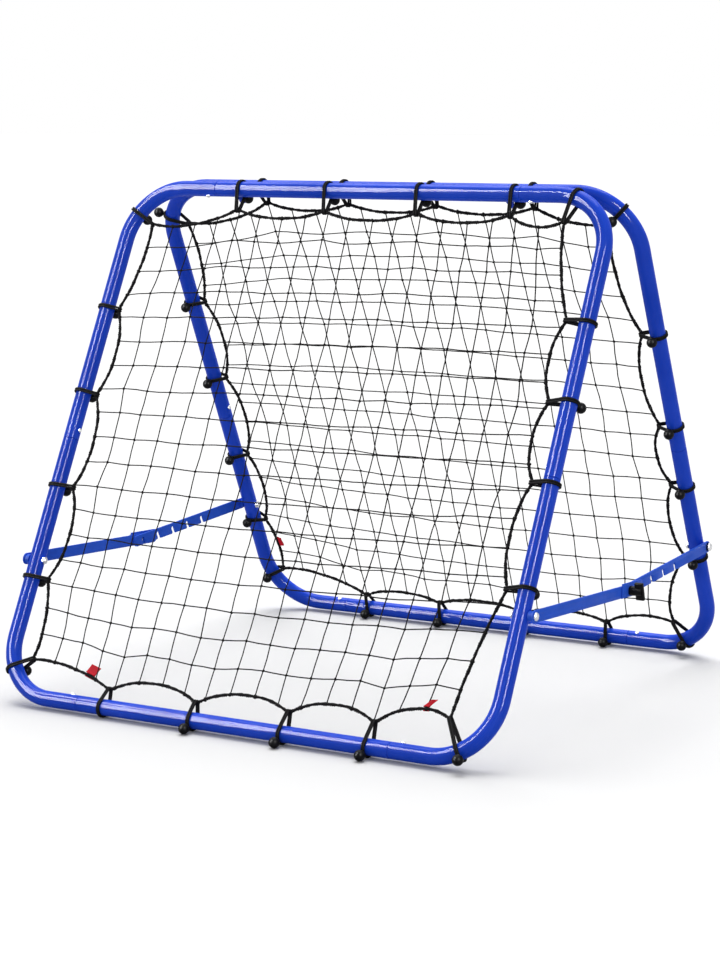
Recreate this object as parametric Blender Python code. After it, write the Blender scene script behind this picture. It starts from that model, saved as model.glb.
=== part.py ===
"""Football rebounder: two netted tube frames, hinged along the top and held open by two notched arms.

Metres, +Z up, +X to the right of someone who faces the front net. The origin is on the floor, midway between
the front and rear edges. Each frame is drawn in its own plane: x across, z up the legs, y square to the net.
"""

from math import cos, pi, radians, sin, tan

import bmesh
import bpy
from mathutils import Matrix, Vector

# Overall sizes
FRAME_WIDTH = 1.040  # between the centrelines of the legs
FRAME_DROP = 0.919  # height between the centrelines of the top and bottom tubes
FRONT_LEAN = radians(28.1)
REAR_LEAN = radians(23.2)
TOP_SPACING = 0.066  # between the two top tubes
CORNER_RADIUS = 0.112

# Tubes
TUBE_RADIUS = 0.015
TUBE_WALL = 0.0015
TUBE_SIDES = 10
BEND_STEPS = 5
CORNER_RUN = 0.075  # straight end of a corner tube, past its bend
FRONT_SPLIT = 0.513  # share of the leg above the joint of its two corner tubes
REAR_SPLIT = 0.535
SPIGOT_LENGTH = 0.040
SCREW_FROM_SEAM = 0.020

# Clearances
CLEARANCE = 0.0003
RUNNING_GAP = 0.0007

# Elastic loops, toggle balls and border rope
CORD_THICKNESS = 0.004
LOOP_WIDTH = 0.008
LOOP_STEP = radians(36)  # between the corners of a loop, round its tube
BALL_RADIUS = 0.010
BALL_SINK = 0.0012  # how far the two strands run into the ball
ROPE_WIDTH = 0.007
ROPE_THICKNESS = 0.006
ROPE_BITE = 0.001  # how far a loop runs into the rope
STRAND_SQUEEZE = 0.8  # of the cord's thickness, where a loop runs round the rope
MITRE_LIMIT = 0.6

# Where a toggle ball sits, as (y, z) in the world, on the top and bottom tubes
FRONT_TOP_BALL = (0.756, -0.654)
REAR_TOP_BALL = (0.980, -0.199)
LOW_BALL = (-0.954, -0.300)
LOW_BALL_BEHIND = (0.954, -0.300)
TOP_CORNER_BALL_TILT = radians(22)
INNER_BALL_TILT = radians(35)
OUTER_BALL_TILT = radians(70)
BALL_TILT_BY_ARM = radians(20)  # as far out as the folding arms leave room

# Net
NET_CELLS = 8
STRAND_WIDTH = 0.003
LEAST_EDGE_SHARE = 0.002  # of a side, between two points of the net's edge
SPAN_STEPS = 3  # points of the border between two loops
LOOPS_A_SIDE = 4
SPANS_A_SIDE = LOOPS_A_SIDE + 1  # a corner loop ends each side

# Hinge
HINGE_FROM_SEAM = 0.035
HINGE_DROP = 0.017  # from the top tubes' centrelines down to the fold axis
EAR_THICKNESS = 0.003
EAR_RADIUS = 0.012
EAR_SPREAD = radians(48)  # half the part of the tube that an ear is welded to

# Fasteners
BOLT_RADIUS = 0.004
BOLT_HEAD_RADIUS = 0.0075
BOLT_HEAD_HEIGHT = 0.0045
NUT_RADIUS = 0.0075
NUT_THICKNESS = 0.0045
SCREW_RADIUS = 0.0020
SCREW_HEAD_RADIUS = 0.0042
SCREW_HEAD_HEIGHT = 0.0022
SCREW_LENGTH = 0.0075
SCREW_CROWN = 0.7  # flat part of a screw's head
BOLT_CROWN = 0.6  # flat part of a bolt's domed head
BOLT_SHOULDER = 0.2  # straight part of its edge
ROUND_SIDES = 10

# Arms
ARM_WIDTH = 0.022
ARM_THICKNESS = 0.003
FRONT_PIVOT_RISE = 0.262  # from the bottom tube's centreline, along the leg
REAR_PIVOT_RISE = 0.243
KNEE_SHARE = 0.504  # of the way from the front pivot to the rear one
KNEE_SAG = 0.021
FRONT_ARM_PAST_KNEE = 0.052
REAR_ARM_PAST_KNEE = 0.031
NOTCH_COUNT = 5
NOTCH_PITCH = 0.052
NOTCH_LEAN = 0.004  # shift of a notch's mouth towards the rear pivot
GUIDE_LENGTH = 0.084
GUIDE_LIP = 0.0045  # how far the guide plate stands above the bar
GUIDE_THICKNESS = 0.002
GUIDE_CORNER = 0.004
SPACER_RADIUS = 0.009

# Wing knob
KNOB_HUB_RADIUS = 0.009
KNOB_HUB_LENGTH = 0.023
KNOB_CHAMFER = 0.002
KNOB_LENGTH = 0.027
KNOB_SPAN = 0.034
KNOB_WING_START = 0.012
KNOB_WING_RISE = 0.004  # how much lower the wings start at the hub
KNOB_WING_THICKNESS = 0.007
KNOB_TURNS = {"left": radians(94), "right": radians(14)}  # of the wings, from upright
STUD_PAST_GUIDE = 0.018

# Tags on the border ropes
TAG_WIDTH = 0.018
TAG_HEIGHT = 0.014
TAG_THICKNESS = 0.0012
TAG_CUT = 0.8  # of its half size, at its two cut corners

# Worked out from the sizes above
HALF_WIDTH = FRAME_WIDTH / 2
SEAM = HALF_WIDTH - CORNER_RADIUS - CORNER_RUN
HINGE_X = SEAM - HINGE_FROM_SEAM
LOOP_INNER = (TUBE_RADIUS + CLEARANCE) / cos(LOOP_STEP / 2)
LOOP_OUTER = LOOP_INNER + CORD_THICKNESS
LOOP_FLAT = LOOP_OUTER * cos(LOOP_STEP / 2)
BALL_REACH = LOOP_OUTER + BALL_RADIUS - BALL_SINK
HOLE_RADIUS = (BOLT_RADIUS + CLEARANCE) / cos(pi / ROUND_SIDES)
SCREW_HOLE_RADIUS = (SCREW_RADIUS + CLEARANCE) / cos(pi / ROUND_SIDES)
TOP_Z = FRAME_DROP + LOOP_FLAT
FRONT_REACH = TOP_SPACING / 2 + FRAME_DROP * tan(FRONT_LEAN) + BALL_REACH * -LOW_BALL[0] + BALL_RADIUS
REAR_REACH = TOP_SPACING / 2 + FRAME_DROP * tan(REAR_LEAN) + LOOP_OUTER
FOLD_Y = (FRONT_REACH - REAR_REACH) / 2
FOLD_Z = TOP_Z - HINGE_DROP

# Planes across the arms, as distances from the middle of the frame
REAR_ARM_X = HALF_WIDTH + LOOP_OUTER + RUNNING_GAP
FRONT_ARM_X = REAR_ARM_X + ARM_THICKNESS + CLEARANCE
GUIDE_X = FRONT_ARM_X + ARM_THICKNESS + CLEARANCE
KNOB_X = GUIDE_X + GUIDE_THICKNESS + CLEARANCE


class Frame:
    """One tube loop: its place, and where its seams, elastic loops and tags sit."""

    def __init__(self, name, lean, sign, split, pivot_rise):
        self.name = name
        self.sign = sign  # +1 where the net's inner side faces +y of the frame's plane
        self.leg = FRAME_DROP / cos(lean)
        self.seam = split * self.leg
        self.pivot = self.leg - pivot_rise
        self.angle = -sign * lean
        self.place = Vector((0, FOLD_Y - sign * TOP_SPACING / 2, TOP_Z))

    def world(self, x, depth):
        """A point of the frame's plane, so far below the top tube, in the world."""
        return self.place + Matrix.Rotation(self.angle, 3, "X") @ Vector((x, 0, -depth))

    def turned_in(self, direction):
        """A world (y, z) direction as (y, z) of the frame's plane."""
        y, z = direction
        return y * cos(self.angle) + z * sin(self.angle), z * cos(self.angle) - y * sin(self.angle)


FRONT = Frame("front", FRONT_LEAN, 1, FRONT_SPLIT, FRONT_PIVOT_RISE)
REAR = Frame("rear", REAR_LEAN, -1, REAR_SPLIT, REAR_PIVOT_RISE)

# Elastic loops: places along each side, and how far each holds the border rope from the tube's centreline.
# Those at a hinge, a seam or a pivot are set off from it in metres, and the others are shares of their side.
FRONT.top_loops = [0.022 - HINGE_X, -0.234 * SEAM, 0.366 * SEAM, HINGE_X + 0.020]
FRONT.bottom_loops = [-0.828 * SEAM, -0.247 * SEAM, 0.342 * SEAM, 0.865 * SEAM]
FRONT.left_loops = [0.251 * FRONT.leg, 0.422 * FRONT.leg, 0.605 * FRONT.leg, FRONT.pivot + 0.036]
FRONT.right_loops = [0.232 * FRONT.leg, 0.380 * FRONT.leg, FRONT.seam + 0.010, FRONT.pivot - 0.042]
FRONT.reach = {
    "top": [0.039] * LOOPS_A_SIDE,
    "bottom": [0.029, 0.028, 0.035, 0.039],
    "left": [0.024, 0.027, 0.032, 0.033],
    "right": [0.037, 0.035, 0.032, 0.034],
}
REAR.top_loops = [0.026 - HINGE_X, -0.258 * SEAM, 0.324 * SEAM, HINGE_X + 0.020]
REAR.bottom_loops = [-0.841 * SEAM, -0.300 * SEAM, 0.300 * SEAM, 0.865 * SEAM]
REAR.left_loops = [0.262 * REAR.leg, 0.441 * REAR.leg, 0.628 * REAR.leg, REAR.pivot + 0.035]
REAR.right_loops = [0.290 * REAR.leg, 0.487 * REAR.leg, 0.618 * REAR.leg, REAR.pivot + 0.030]
REAR.reach = {
    "top": [0.028] * LOOPS_A_SIDE,
    "bottom": [0.029] * LOOPS_A_SIDE,
    "left": [0.024] * LOOPS_A_SIDE,
    "right": [0.028, 0.026, 0.024, 0.024],
}

# How far the border rope draws in between each two stops of a side, from its left or upper end
FRONT.draw = {
    "top": [0.017] * SPANS_A_SIDE,
    "bottom": [0.013, 0.024, 0.024, 0.024, 0.022],
    "left": [0.012, 0.021, 0.022, 0.023, 0.012],
    "right": [0.009, 0.019, 0.019, 0.019, 0.006],
}
REAR.draw = {
    "top": [0.017] * SPANS_A_SIDE,
    "bottom": [0.018] * SPANS_A_SIDE,
    "left": [0.014, 0.023, 0.024, 0.020, 0.012],
    "right": [0.020] * SPANS_A_SIDE,
}

# Corner loops: (side, end) gives the turn round the bend from the level tube, and the rope's distance
FRONT.corner_loops = {
    (-1, 1): (radians(60), 0.039),
    (1, 1): (radians(20), 0.044),
    (-1, -1): (radians(54), 0.036),
    (1, -1): (radians(28), 0.058),
}
REAR.corner_loops = {
    (-1, 1): (radians(66), 0.031),
    (1, 1): (radians(48), 0.028),
    (-1, -1): (radians(66), 0.028),
    (1, -1): (radians(28), 0.038),
}

# Toggle balls that sit off the line of the others, as (out of plane, inwards)
FRONT.odd_balls = {
    "bottom_0": FRONT.turned_in(LOW_BALL_BEHIND),
    "right_0": (cos(INNER_BALL_TILT), sin(INNER_BALL_TILT)),
    "right_1": (cos(BALL_TILT_BY_ARM), -sin(BALL_TILT_BY_ARM)),
    "right_2": (cos(INNER_BALL_TILT), sin(INNER_BALL_TILT)),
    "corner_-1_-1": FRONT.turned_in(LOW_BALL_BEHIND),
    "corner_-1_1": (1, 0),
    "corner_1_1": (1, 0),
}
REAR.odd_balls = {"corner_-1_1": (-cos(OUTER_BALL_TILT), -sin(OUTER_BALL_TILT))}

# Tags: (name, frame, share along the side, True for the bottom side and False for the left one)
TAGS = [
    ("tag_front_left", FRONT, 0.15, True),
    ("tag_front_right", FRONT, 0.93, True),
    ("tag_rear", REAR, 0.89, False),
]


def clear_scene():
    for obj in list(bpy.data.objects):
        bpy.data.objects.remove(obj, do_unlink=True)


def paint(name, colour, roughness, metallic=0.0):
    material = bpy.data.materials.new(name)
    material.use_nodes = True
    shader = material.node_tree.nodes["Principled BSDF"]
    shader.inputs["Base Color"].default_value = (*colour, 1.0)
    shader.inputs["Roughness"].default_value = roughness
    shader.inputs["Metallic"].default_value = metallic
    return material


def add(name, data, parent=None, location=(0, 0, 0), rotation=(0, 0, 0)):
    obj = bpy.data.objects.new(name, data)
    bpy.context.scene.collection.objects.link(obj)
    obj.parent = parent
    obj.location = location
    obj.rotation_euler = rotation
    return obj


def finish(obj, material, smooth=True):
    obj.data.materials.append(material)
    if smooth:
        obj.data.shade_smooth()
        obj.data.set_sharp_from_angle(angle=radians(35))
    return obj


def helper(obj):
    obj.hide_render = True
    obj.display_type = "WIRE"
    return obj


def boolean(obj, other, operation):
    modifier = obj.modifiers.new(operation.lower(), "BOOLEAN")
    modifier.operation = operation
    if isinstance(other, bpy.types.Collection):
        modifier.operand_type = "COLLECTION"
        modifier.collection = other
    else:
        modifier.object = other


def closed_mesh(name, bm):
    """The finished mesh, with every face pointing out."""
    bmesh.ops.recalc_face_normals(bm, faces=bm.faces)
    if bm.calc_volume(signed=True) < 0:
        bmesh.ops.reverse_faces(bm, faces=bm.faces)
    mesh = bpy.data.meshes.new(name)
    bm.to_mesh(mesh)
    bm.free()
    return mesh


def skin(name, rings, closed):
    """A mesh through rings of points, one after the other. A ring of one point is a pole."""
    bm = bmesh.new()
    loops = [[bm.verts.new(point) for point in ring] for ring in rings]
    followers = loops[1:] + loops[:1] if closed else loops[1:]
    for near, far in zip(loops, followers):
        count = max(len(near), len(far))
        for k in range(count):
            after = (k + 1) % count
            if len(near) == 1:
                bm.faces.new((near[0], far[after], far[k]))
            elif len(far) == 1:
                bm.faces.new((near[k], near[after], far[0]))
            else:
                bm.faces.new((near[k], near[after], far[after], far[k]))
    return closed_mesh(name, bm)


def turned(name, profile, sides=ROUND_SIDES, closed=False):
    """A mesh turned round z from (radius, height) points; a closed profile keeps its bore."""
    rings = []
    for radius, height in profile:
        if radius == 0:
            rings.append([(0, 0, height)])
            continue
        angles = [2 * pi * k / sides for k in range(sides)]
        rings.append([(radius * cos(angle), radius * sin(angle), height) for angle in angles])
    return skin(name, rings, closed)


def prism(name, outline, low, high):
    """A mesh of an (x, y) outline, from z = low to z = high."""
    bm = bmesh.new()
    base = bm.faces.new([bm.verts.new((x, y, low)) for x, y in outline])
    raised = bmesh.ops.extrude_face_region(bm, geom=[base])["geom"]
    tops = [item for item in raised if isinstance(item, bmesh.types.BMVert)]
    bmesh.ops.translate(bm, verts=tops, vec=(0, 0, high - low))
    return closed_mesh(name, bm)


def plate(name, outlines, thickness):
    """A flat curve, extruded both ways from its own xy plane; outlines inside the first are holes."""
    curve = bpy.data.curves.new(name, "CURVE")
    curve.dimensions = "2D"
    curve.fill_mode = "BOTH"
    curve.extrude = thickness / 2
    for outline in outlines:
        spline = curve.splines.new("POLY")
        spline.points.add(len(outline) - 1)
        spline.use_cyclic_u = True
        for point, (x, y) in zip(spline.points, outline):
            point.co = (x, y, 0, 1)
    return curve


def arc(centre, radius, start, end, steps):
    angles = [start + (end - start) * k / steps for k in range(steps + 1)]
    return [(centre[0] + radius * cos(angle), centre[1] + radius * sin(angle)) for angle in angles]


def circle(centre, radius, sides=ROUND_SIDES):
    return arc(centre, radius, 0, 2 * pi, sides)[:-1]


def tube_ring(centre, direction, radius):
    """Points round a tube whose centreline stays in the xz plane."""
    across = Vector((direction[1], 0, -direction[0]))
    square = Vector((0, 1, 0))
    middle = Vector((centre[0], 0, centre[1]))
    angles = [2 * pi * k / TUBE_SIDES for k in range(TUBE_SIDES)]
    return [middle + radius * (across * cos(angle) + square * sin(angle)) for angle in angles]


def tube(name, stations):
    """A hollow tube through (centre, direction, outer radius) stations."""
    outer = [tube_ring(centre, direction, radius) for centre, direction, radius in stations]
    inner = [tube_ring(centre, direction, radius - TUBE_WALL) for centre, direction, radius in stations]
    return skin(name, outer + inner[::-1], closed=True)


def spigot_stations(end, direction):
    """The reduced end of a tube, from the tip to the shoulder where the full tube starts."""
    reduced = TUBE_RADIUS - TUBE_WALL - CLEARANCE / cos(pi / TUBE_SIDES)
    ahead = Vector(direction)
    tip = Vector(end) - ahead * SPIGOT_LENGTH
    neck = Vector(end) + ahead * CLEARANCE
    shoulder = neck + ahead * 2 * TUBE_WALL
    return [(tip, direction, reduced), (neck, direction, reduced), (shoulder, direction, TUBE_RADIUS)]


def corner_tube(frame, side, end, holes, material):
    """An L-shaped tube. side is -1 for left and +1 for right, end +1 for the top and -1 for the bottom."""
    corner = (side * HALF_WIDTH, 0 if end > 0 else -frame.leg)
    level_end = (side * SEAM, corner[1])
    level_way = (side, 0)
    stations = [(level_end, level_way, TUBE_RADIUS)]
    centre = (corner[0] - side * CORNER_RADIUS, corner[1] - end * CORNER_RADIUS)
    for k in range(BEND_STEPS + 1):
        turn = pi / 2 * k / BEND_STEPS
        point = (centre[0] + side * CORNER_RADIUS * sin(turn), centre[1] + end * CORNER_RADIUS * cos(turn))
        stations.append((point, (side * cos(turn), -end * sin(turn)), TUBE_RADIUS))
    leg_end = (corner[0], -frame.seam)
    if end > 0:
        stations.append((leg_end, (0, -1), TUBE_RADIUS))
    else:
        for point, _, radius in spigot_stations(leg_end, (0, -1))[::-1]:
            stations.append((point, (0, 1), radius))
    name = f"{frame.name}_{'upper' if end > 0 else 'lower'}_{'left' if side < 0 else 'right'}_tube"
    obj = finish(add(name, tube(name, stations), frame.empty), material)
    boolean(obj, holes, "DIFFERENCE")
    return obj


def straight_tube(frame, end, holes, material):
    """The level tube between two corner tubes, with a spigot at each end."""
    depth = 0 if end > 0 else -frame.leg
    name = f"{frame.name}_{'top' if end > 0 else 'bottom'}_tube"
    left = spigot_stations((-SEAM, depth), (1, 0))
    right = [(point, (1, 0), radius) for point, _, radius in spigot_stations((SEAM, depth), (-1, 0))[::-1]]
    obj = add(name, tube(name, left + right), frame.empty)
    if end > 0:
        for side in (-1, 1):
            boolean(obj, hinge_ear(frame, side), "UNION")
    finish(obj, material)
    boolean(obj, holes, "DIFFERENCE")
    return obj


def hinge_ear(frame, side):
    """A plate welded under the top tube, with its round end on the fold axis."""
    to_fold = Vector(frame.turned_in((frame.sign * TOP_SPACING / 2, -HINGE_DROP)))
    ahead = Vector((1, 0)).angle_signed(to_fold)
    middle = -ahead
    ends = arc(to_fold, EAR_RADIUS, middle + pi / 2, middle - pi / 2, 8)
    weld = TUBE_RADIUS - TUBE_WALL / 2
    seat = arc((0, 0), weld, middle - EAR_SPREAD, middle + EAR_SPREAD, 6)
    start = HINGE_X + (CLEARANCE / 2 if frame is REAR else -CLEARANCE / 2 - EAR_THICKNESS)
    ear = prism("ear", seat[::-1] + ends[::-1], start, start + EAR_THICKNESS)
    # The outline's x and y run along the frame's y and z, and its thickness along the frame's x.
    turn = Matrix(((0, 0, side), (1, 0, 0), (0, 1, 0))).to_4x4()
    ear.transform(turn)
    if side < 0:
        ear.flip_normals()
    return helper(add(f"{frame.name}_ear_{side}", ear, frame.empty))


def seam_places(frame):
    """Each screw's (centre on the tube, direction from head to tip), as (x, z) of the frame's plane."""
    level = SEAM + SCREW_FROM_SEAM
    leg = frame.seam - SCREW_FROM_SEAM
    for side, word in ((-1, "left"), (1, "right")):
        yield f"{frame.name}_screw_top_{word}", (side * level, 0), (0, 1)
        yield f"{frame.name}_screw_leg_{word}", (side * HALF_WIDTH, -leg), (side, 0)
        yield f"{frame.name}_screw_bottom_{word}", (side * level, -frame.leg), (0, -1)


def rod(name, parent, radius, start, end):
    """A cutter from start to end, in the parent's own axes."""
    way = Vector(end) - Vector(start)
    mesh = turned(name, [(0, 0), (radius, 0), (radius, way.length), (0, way.length)])
    turn = way.to_track_quat("Z", "Y").to_euler()
    return helper(add(name, mesh, parent, start, turn))


def hole_cutters(frame):
    """Every screw hole, pivot hole and hinge hole of one frame."""
    holes = bpy.data.collections.new(f"{frame.name}_holes")
    bpy.context.scene.collection.children.link(holes)
    cutters = []
    for name, centre, way in seam_places(frame):
        middle = Vector((centre[0], 0, centre[1]))
        back = Vector((way[0], 0, way[1])) * 2 * TUBE_RADIUS
        cutters.append(rod(f"{name}_hole", frame.empty, SCREW_HOLE_RADIUS, middle - back, middle))
    for side in (-1, 1):
        inner = (side * (HALF_WIDTH - 2 * TUBE_RADIUS), 0, -frame.pivot)
        outer = (side * (HALF_WIDTH + 2 * TUBE_RADIUS), 0, -frame.pivot)
        cutters.append(rod(f"{frame.name}_pivot_hole_{side}", frame.empty, HOLE_RADIUS, inner, outer))
        y, z = frame.turned_in((frame.sign * TOP_SPACING / 2, -HINGE_DROP))
        near = (side * (HINGE_X - 3 * EAR_THICKNESS), y, z)
        far = (side * (HINGE_X + 3 * EAR_THICKNESS), y, z)
        cutters.append(rod(f"{frame.name}_hinge_hole_{side}", frame.empty, HOLE_RADIUS, near, far))
    for cutter in cutters:
        bpy.context.scene.collection.objects.unlink(cutter)
        holes.objects.link(cutter)
    return holes


def screws(frame, material):
    profile = [
        (0, -SCREW_HEAD_HEIGHT),
        (SCREW_HEAD_RADIUS * SCREW_CROWN, -SCREW_HEAD_HEIGHT),
        (SCREW_HEAD_RADIUS, 0),
        (SCREW_RADIUS, 0),
        (SCREW_RADIUS, SCREW_LENGTH),
        (0, SCREW_LENGTH),
    ]
    for name, centre, way in seam_places(frame):
        tip = Vector((way[0], 0, way[1]))
        place = Vector((centre[0], 0, centre[1])) - tip * (TUBE_RADIUS + CLEARANCE)
        turn = tip.to_track_quat("Z", "Y").to_euler()
        finish(add(name, turned(name, profile, sides=8), frame.empty, place, turn), material)


def border_outline(frame):
    """The border rope's outer edge, as four sides of points with the loops' places at equal shares."""
    corners = {}
    for (side, end), (turn, reach) in frame.corner_loops.items():
        x = side * (HALF_WIDTH - CORNER_RADIUS)
        z = -CORNER_RADIUS if end > 0 else CORNER_RADIUS - frame.leg
        inside = CORNER_RADIUS - reach
        corners[side, end] = Vector((x + side * inside * sin(turn), z + end * inside * cos(turn)))
    reach, draw = frame.reach, frame.draw
    tops = [Vector((x, -off)) for x, off in zip(frame.top_loops, reach["top"])]
    bottoms = [Vector((x, off - frame.leg)) for x, off in zip(frame.bottom_loops, reach["bottom"])]
    lefts = [Vector((off - HALF_WIDTH, -depth)) for depth, off in zip(frame.left_loops, reach["left"])]
    rights = [Vector((HALF_WIDTH - off, -depth)) for depth, off in zip(frame.right_loops, reach["right"])]
    return {
        "top": scalloped([corners[-1, 1], *tops, corners[1, 1]], Vector((0, -1)), draw["top"]),
        "bottom": scalloped([corners[-1, -1], *bottoms, corners[1, -1]], Vector((0, 1)), draw["bottom"]),
        "left": scalloped([corners[-1, 1], *lefts, corners[-1, -1]], Vector((1, 0)), draw["left"]),
        "right": scalloped([corners[1, 1], *rights, corners[1, -1]], Vector((-1, 0)), draw["right"]),
    }


def scalloped(stops, inward, draws):
    """Points along one side, drawn inwards between each two stops."""
    points = []
    for near, far, draw in zip(stops, stops[1:], draws):
        for k in range(SPAN_STEPS):
            share = k / SPAN_STEPS
            points.append(near.lerp(far, share) + inward * draw * 4 * share * (1 - share))
    return [*points, stops[-1]]


def ring_of(sides):
    """The four sides as one outline, clockwise from the upper left corner."""
    return sides["top"][:-1] + sides["right"][:-1] + sides["bottom"][:0:-1] + sides["left"][:0:-1]


def inset(points, distance):
    """A clockwise outline moved inwards."""
    moved = []
    for before, point, after in zip(points[-1:] + points[:-1], points, points[1:] + points[:1]):
        first = (point - before).normalized()
        second = (after - point).normalized()
        along = (first + second).normalized()
        inward = Vector((along.y, -along.x))
        moved.append(point + inward * distance / max(MITRE_LIMIT, along.dot(first)))
    return moved


def split_ring(ring):
    """The outline's four sides again, each from its left or upper end."""
    count = len(ring) // 4
    closed = ring + ring[:1]
    return {
        "top": closed[: count + 1],
        "right": closed[count : 2 * count + 1],
        "bottom": closed[2 * count : 3 * count + 1][::-1],
        "left": closed[3 * count :][::-1],
    }


def read_side(points, share):
    """A point at this share of a side's steps."""
    place = min(max(share, 0), 1) * (len(points) - 1)
    k = min(int(place), len(points) - 2)
    return points[k].lerp(points[k + 1], place - k)


def net_point(sides, s, t):
    """A point of the net. s runs left to right, t top to bottom; each scallop fades towards the middle."""
    top, bottom, left, right = (sides[name] for name in ("top", "bottom", "left", "right"))
    base = top[0].lerp(top[-1], s).lerp(bottom[0].lerp(bottom[-1], s), t)
    point = base.copy()
    point += (read_side(top, s) - top[0].lerp(top[-1], s)) * (1 - t) ** 3
    point += (read_side(bottom, s) - bottom[0].lerp(bottom[-1], s)) * t**3
    point += (read_side(left, t) - left[0].lerp(left[-1], t)) * (1 - s) ** 3
    point += (read_side(right, t) - right[0].lerp(right[-1], t)) * s**3
    return point


def cell_stops(index, span, steps, on_border):
    """Shares where one side of a net opening has its corners, and the border's own points along it."""
    low = STRAND_WIDTH / span if index == 0 else index / NET_CELLS + STRAND_WIDTH / 2 / span
    high = 1 - STRAND_WIDTH / span
    if index < NET_CELLS - 1:
        high = (index + 1) / NET_CELLS - STRAND_WIDTH / 2 / span
    least = LEAST_EDGE_SHARE
    between = [k / steps for k in range(1, steps) if low + least < k / steps < high - least]
    return [low, *(between if on_border else []), high]


def net_outlines(sides):
    """The net's edge and its openings."""
    steps = len(sides["top"]) - 1
    width = (sides["top"][-1] - sides["top"][0]).length
    height = (sides["left"][-1] - sides["left"][0]).length
    last = NET_CELLS - 1
    outlines = [ring_of(sides)]
    for row in range(NET_CELLS):
        for column in range(NET_CELLS):
            across = {edge: cell_stops(column, width, steps, row == edge) for edge in (0, last)}
            down = {edge: cell_stops(row, height, steps, column == edge) for edge in (0, last)}
            left, right = across[0][0], across[0][-1]
            above, below = down[0][0], down[0][-1]
            hole = [net_point(sides, s, above) for s in across[0][:-1]]
            hole += [net_point(sides, right, t) for t in down[last][:-1]]
            hole += [net_point(sides, s, below) for s in across[last][:0:-1]]
            hole += [net_point(sides, left, t) for t in down[0][:0:-1]]
            outlines.append(hole)
    return outlines


def net(frame, outline, material):
    """The knotted mesh, hung just inside its border rope."""
    sides = split_ring(inset(outline, ROPE_WIDTH + CLEARANCE))
    name = f"{frame.name}_net"
    curve = plate(name, net_outlines(sides), STRAND_WIDTH)
    finish(add(name, curve, frame.empty, rotation=(pi / 2, 0, 0)), material, smooth=False)


def loop_places(frame):
    """Each elastic loop: name, point on the tube, way to the net, reach, ball's (out of plane, inwards)."""
    for name, centre, inward, reach, ball in usual_loop_places(frame):
        yield name, centre, inward, reach, frame.odd_balls.get(name, ball)


def usual_loop_places(frame):
    top_ball = frame.turned_in(FRONT_TOP_BALL if frame is FRONT else REAR_TOP_BALL)
    low_ball = frame.turned_in(LOW_BALL)
    for k in range(LOOPS_A_SIDE):
        high = (frame.top_loops[k], 0)
        yield f"top_{k}", high, (0, -1), frame.reach["top"][k], (top_ball[0], -top_ball[1])
        low = (frame.bottom_loops[k], -frame.leg)
        yield f"bottom_{k}", low, (0, 1), frame.reach["bottom"][k], low_ball
        for side, word, depths in ((-1, "left", frame.left_loops), (1, "right", frame.right_loops)):
            place = (side * HALF_WIDTH, -depths[k])
            yield f"{word}_{k}", place, (-side, 0), frame.reach[word][k], (frame.sign, 0)
    tilt = TOP_CORNER_BALL_TILT
    for (side, end), (turn, reach) in frame.corner_loops.items():
        out = Vector((side * sin(turn), end * cos(turn)))
        bend = Vector((side * (HALF_WIDTH - CORNER_RADIUS), -CORNER_RADIUS))
        if end < 0:
            bend.y = CORNER_RADIUS - frame.leg
        ball = (frame.sign * cos(tilt), sin(tilt)) if end > 0 else low_ball
        yield f"corner_{side}_{end}", bend + out * CORNER_RADIUS, -out, reach, ball


def loop_section(reach, floor_turn):
    """The loop's ring, as (outer, inner) points of (towards the net, out of plane)."""
    angles = [pi + floor_turn + LOOP_STEP * k for k in range(-3, 4)]
    outer = [(LOOP_OUTER * cos(angle), LOOP_OUTER * sin(angle)) for angle in angles]
    inner = [(LOOP_INNER * cos(angle), LOOP_INNER * sin(angle)) for angle in angles]
    half = ROPE_THICKNESS / 3
    end = reach + CORD_THICKNESS
    wide = half + CORD_THICKNESS * STRAND_SQUEEZE
    outer += [(end, -wide), (end, wide)]
    inner += [(reach - ROPE_BITE, -half), (reach - ROPE_BITE, half)]
    return outer, inner


def loop_band(frame, name, centre, inward, reach, floor_turn):
    """An elastic loop, from round the tube to inside the border rope."""
    ahead = Vector((inward[0], 0, inward[1]))
    square = Vector((0, 1, 0))
    across = ahead.cross(square)
    middle = Vector((centre[0], 0, centre[1]))
    rings = []
    outer, inner = loop_section(reach, floor_turn)
    for ring, offset in ((outer, -1), (outer, 1), (inner, 1), (inner, -1)):
        shift = across * LOOP_WIDTH / 2 * offset
        rings.append([middle + shift + ahead * a + square * b for a, b in ring])
    return helper(add(f"{frame.name}_loop_{name}", skin(name, rings, closed=True), frame.empty))


def toggle_ball(frame, name, centre, inward, ball):
    """A ball on the loop's outside, on a line square to its tube."""
    ahead = Vector((inward[0], 0, inward[1]))
    offset = (Vector((0, ball[0], 0)) + ahead * ball[1]).normalized() * BALL_REACH
    place = Vector((centre[0], 0, centre[1])) + offset
    profile = [(0, -BALL_RADIUS), (BALL_RADIUS * sin(pi / 4), -BALL_RADIUS * cos(pi / 4)), (BALL_RADIUS, 0)]
    profile += [(BALL_RADIUS * sin(pi / 4), BALL_RADIUS * cos(pi / 4)), (0, BALL_RADIUS)]
    turn = offset.to_track_quat("Z", "Y").to_euler()
    mesh = turned(f"{name}_ball", profile, sides=6)
    return helper(add(f"{frame.name}_ball_{name}", mesh, frame.empty, place, turn))


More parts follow.
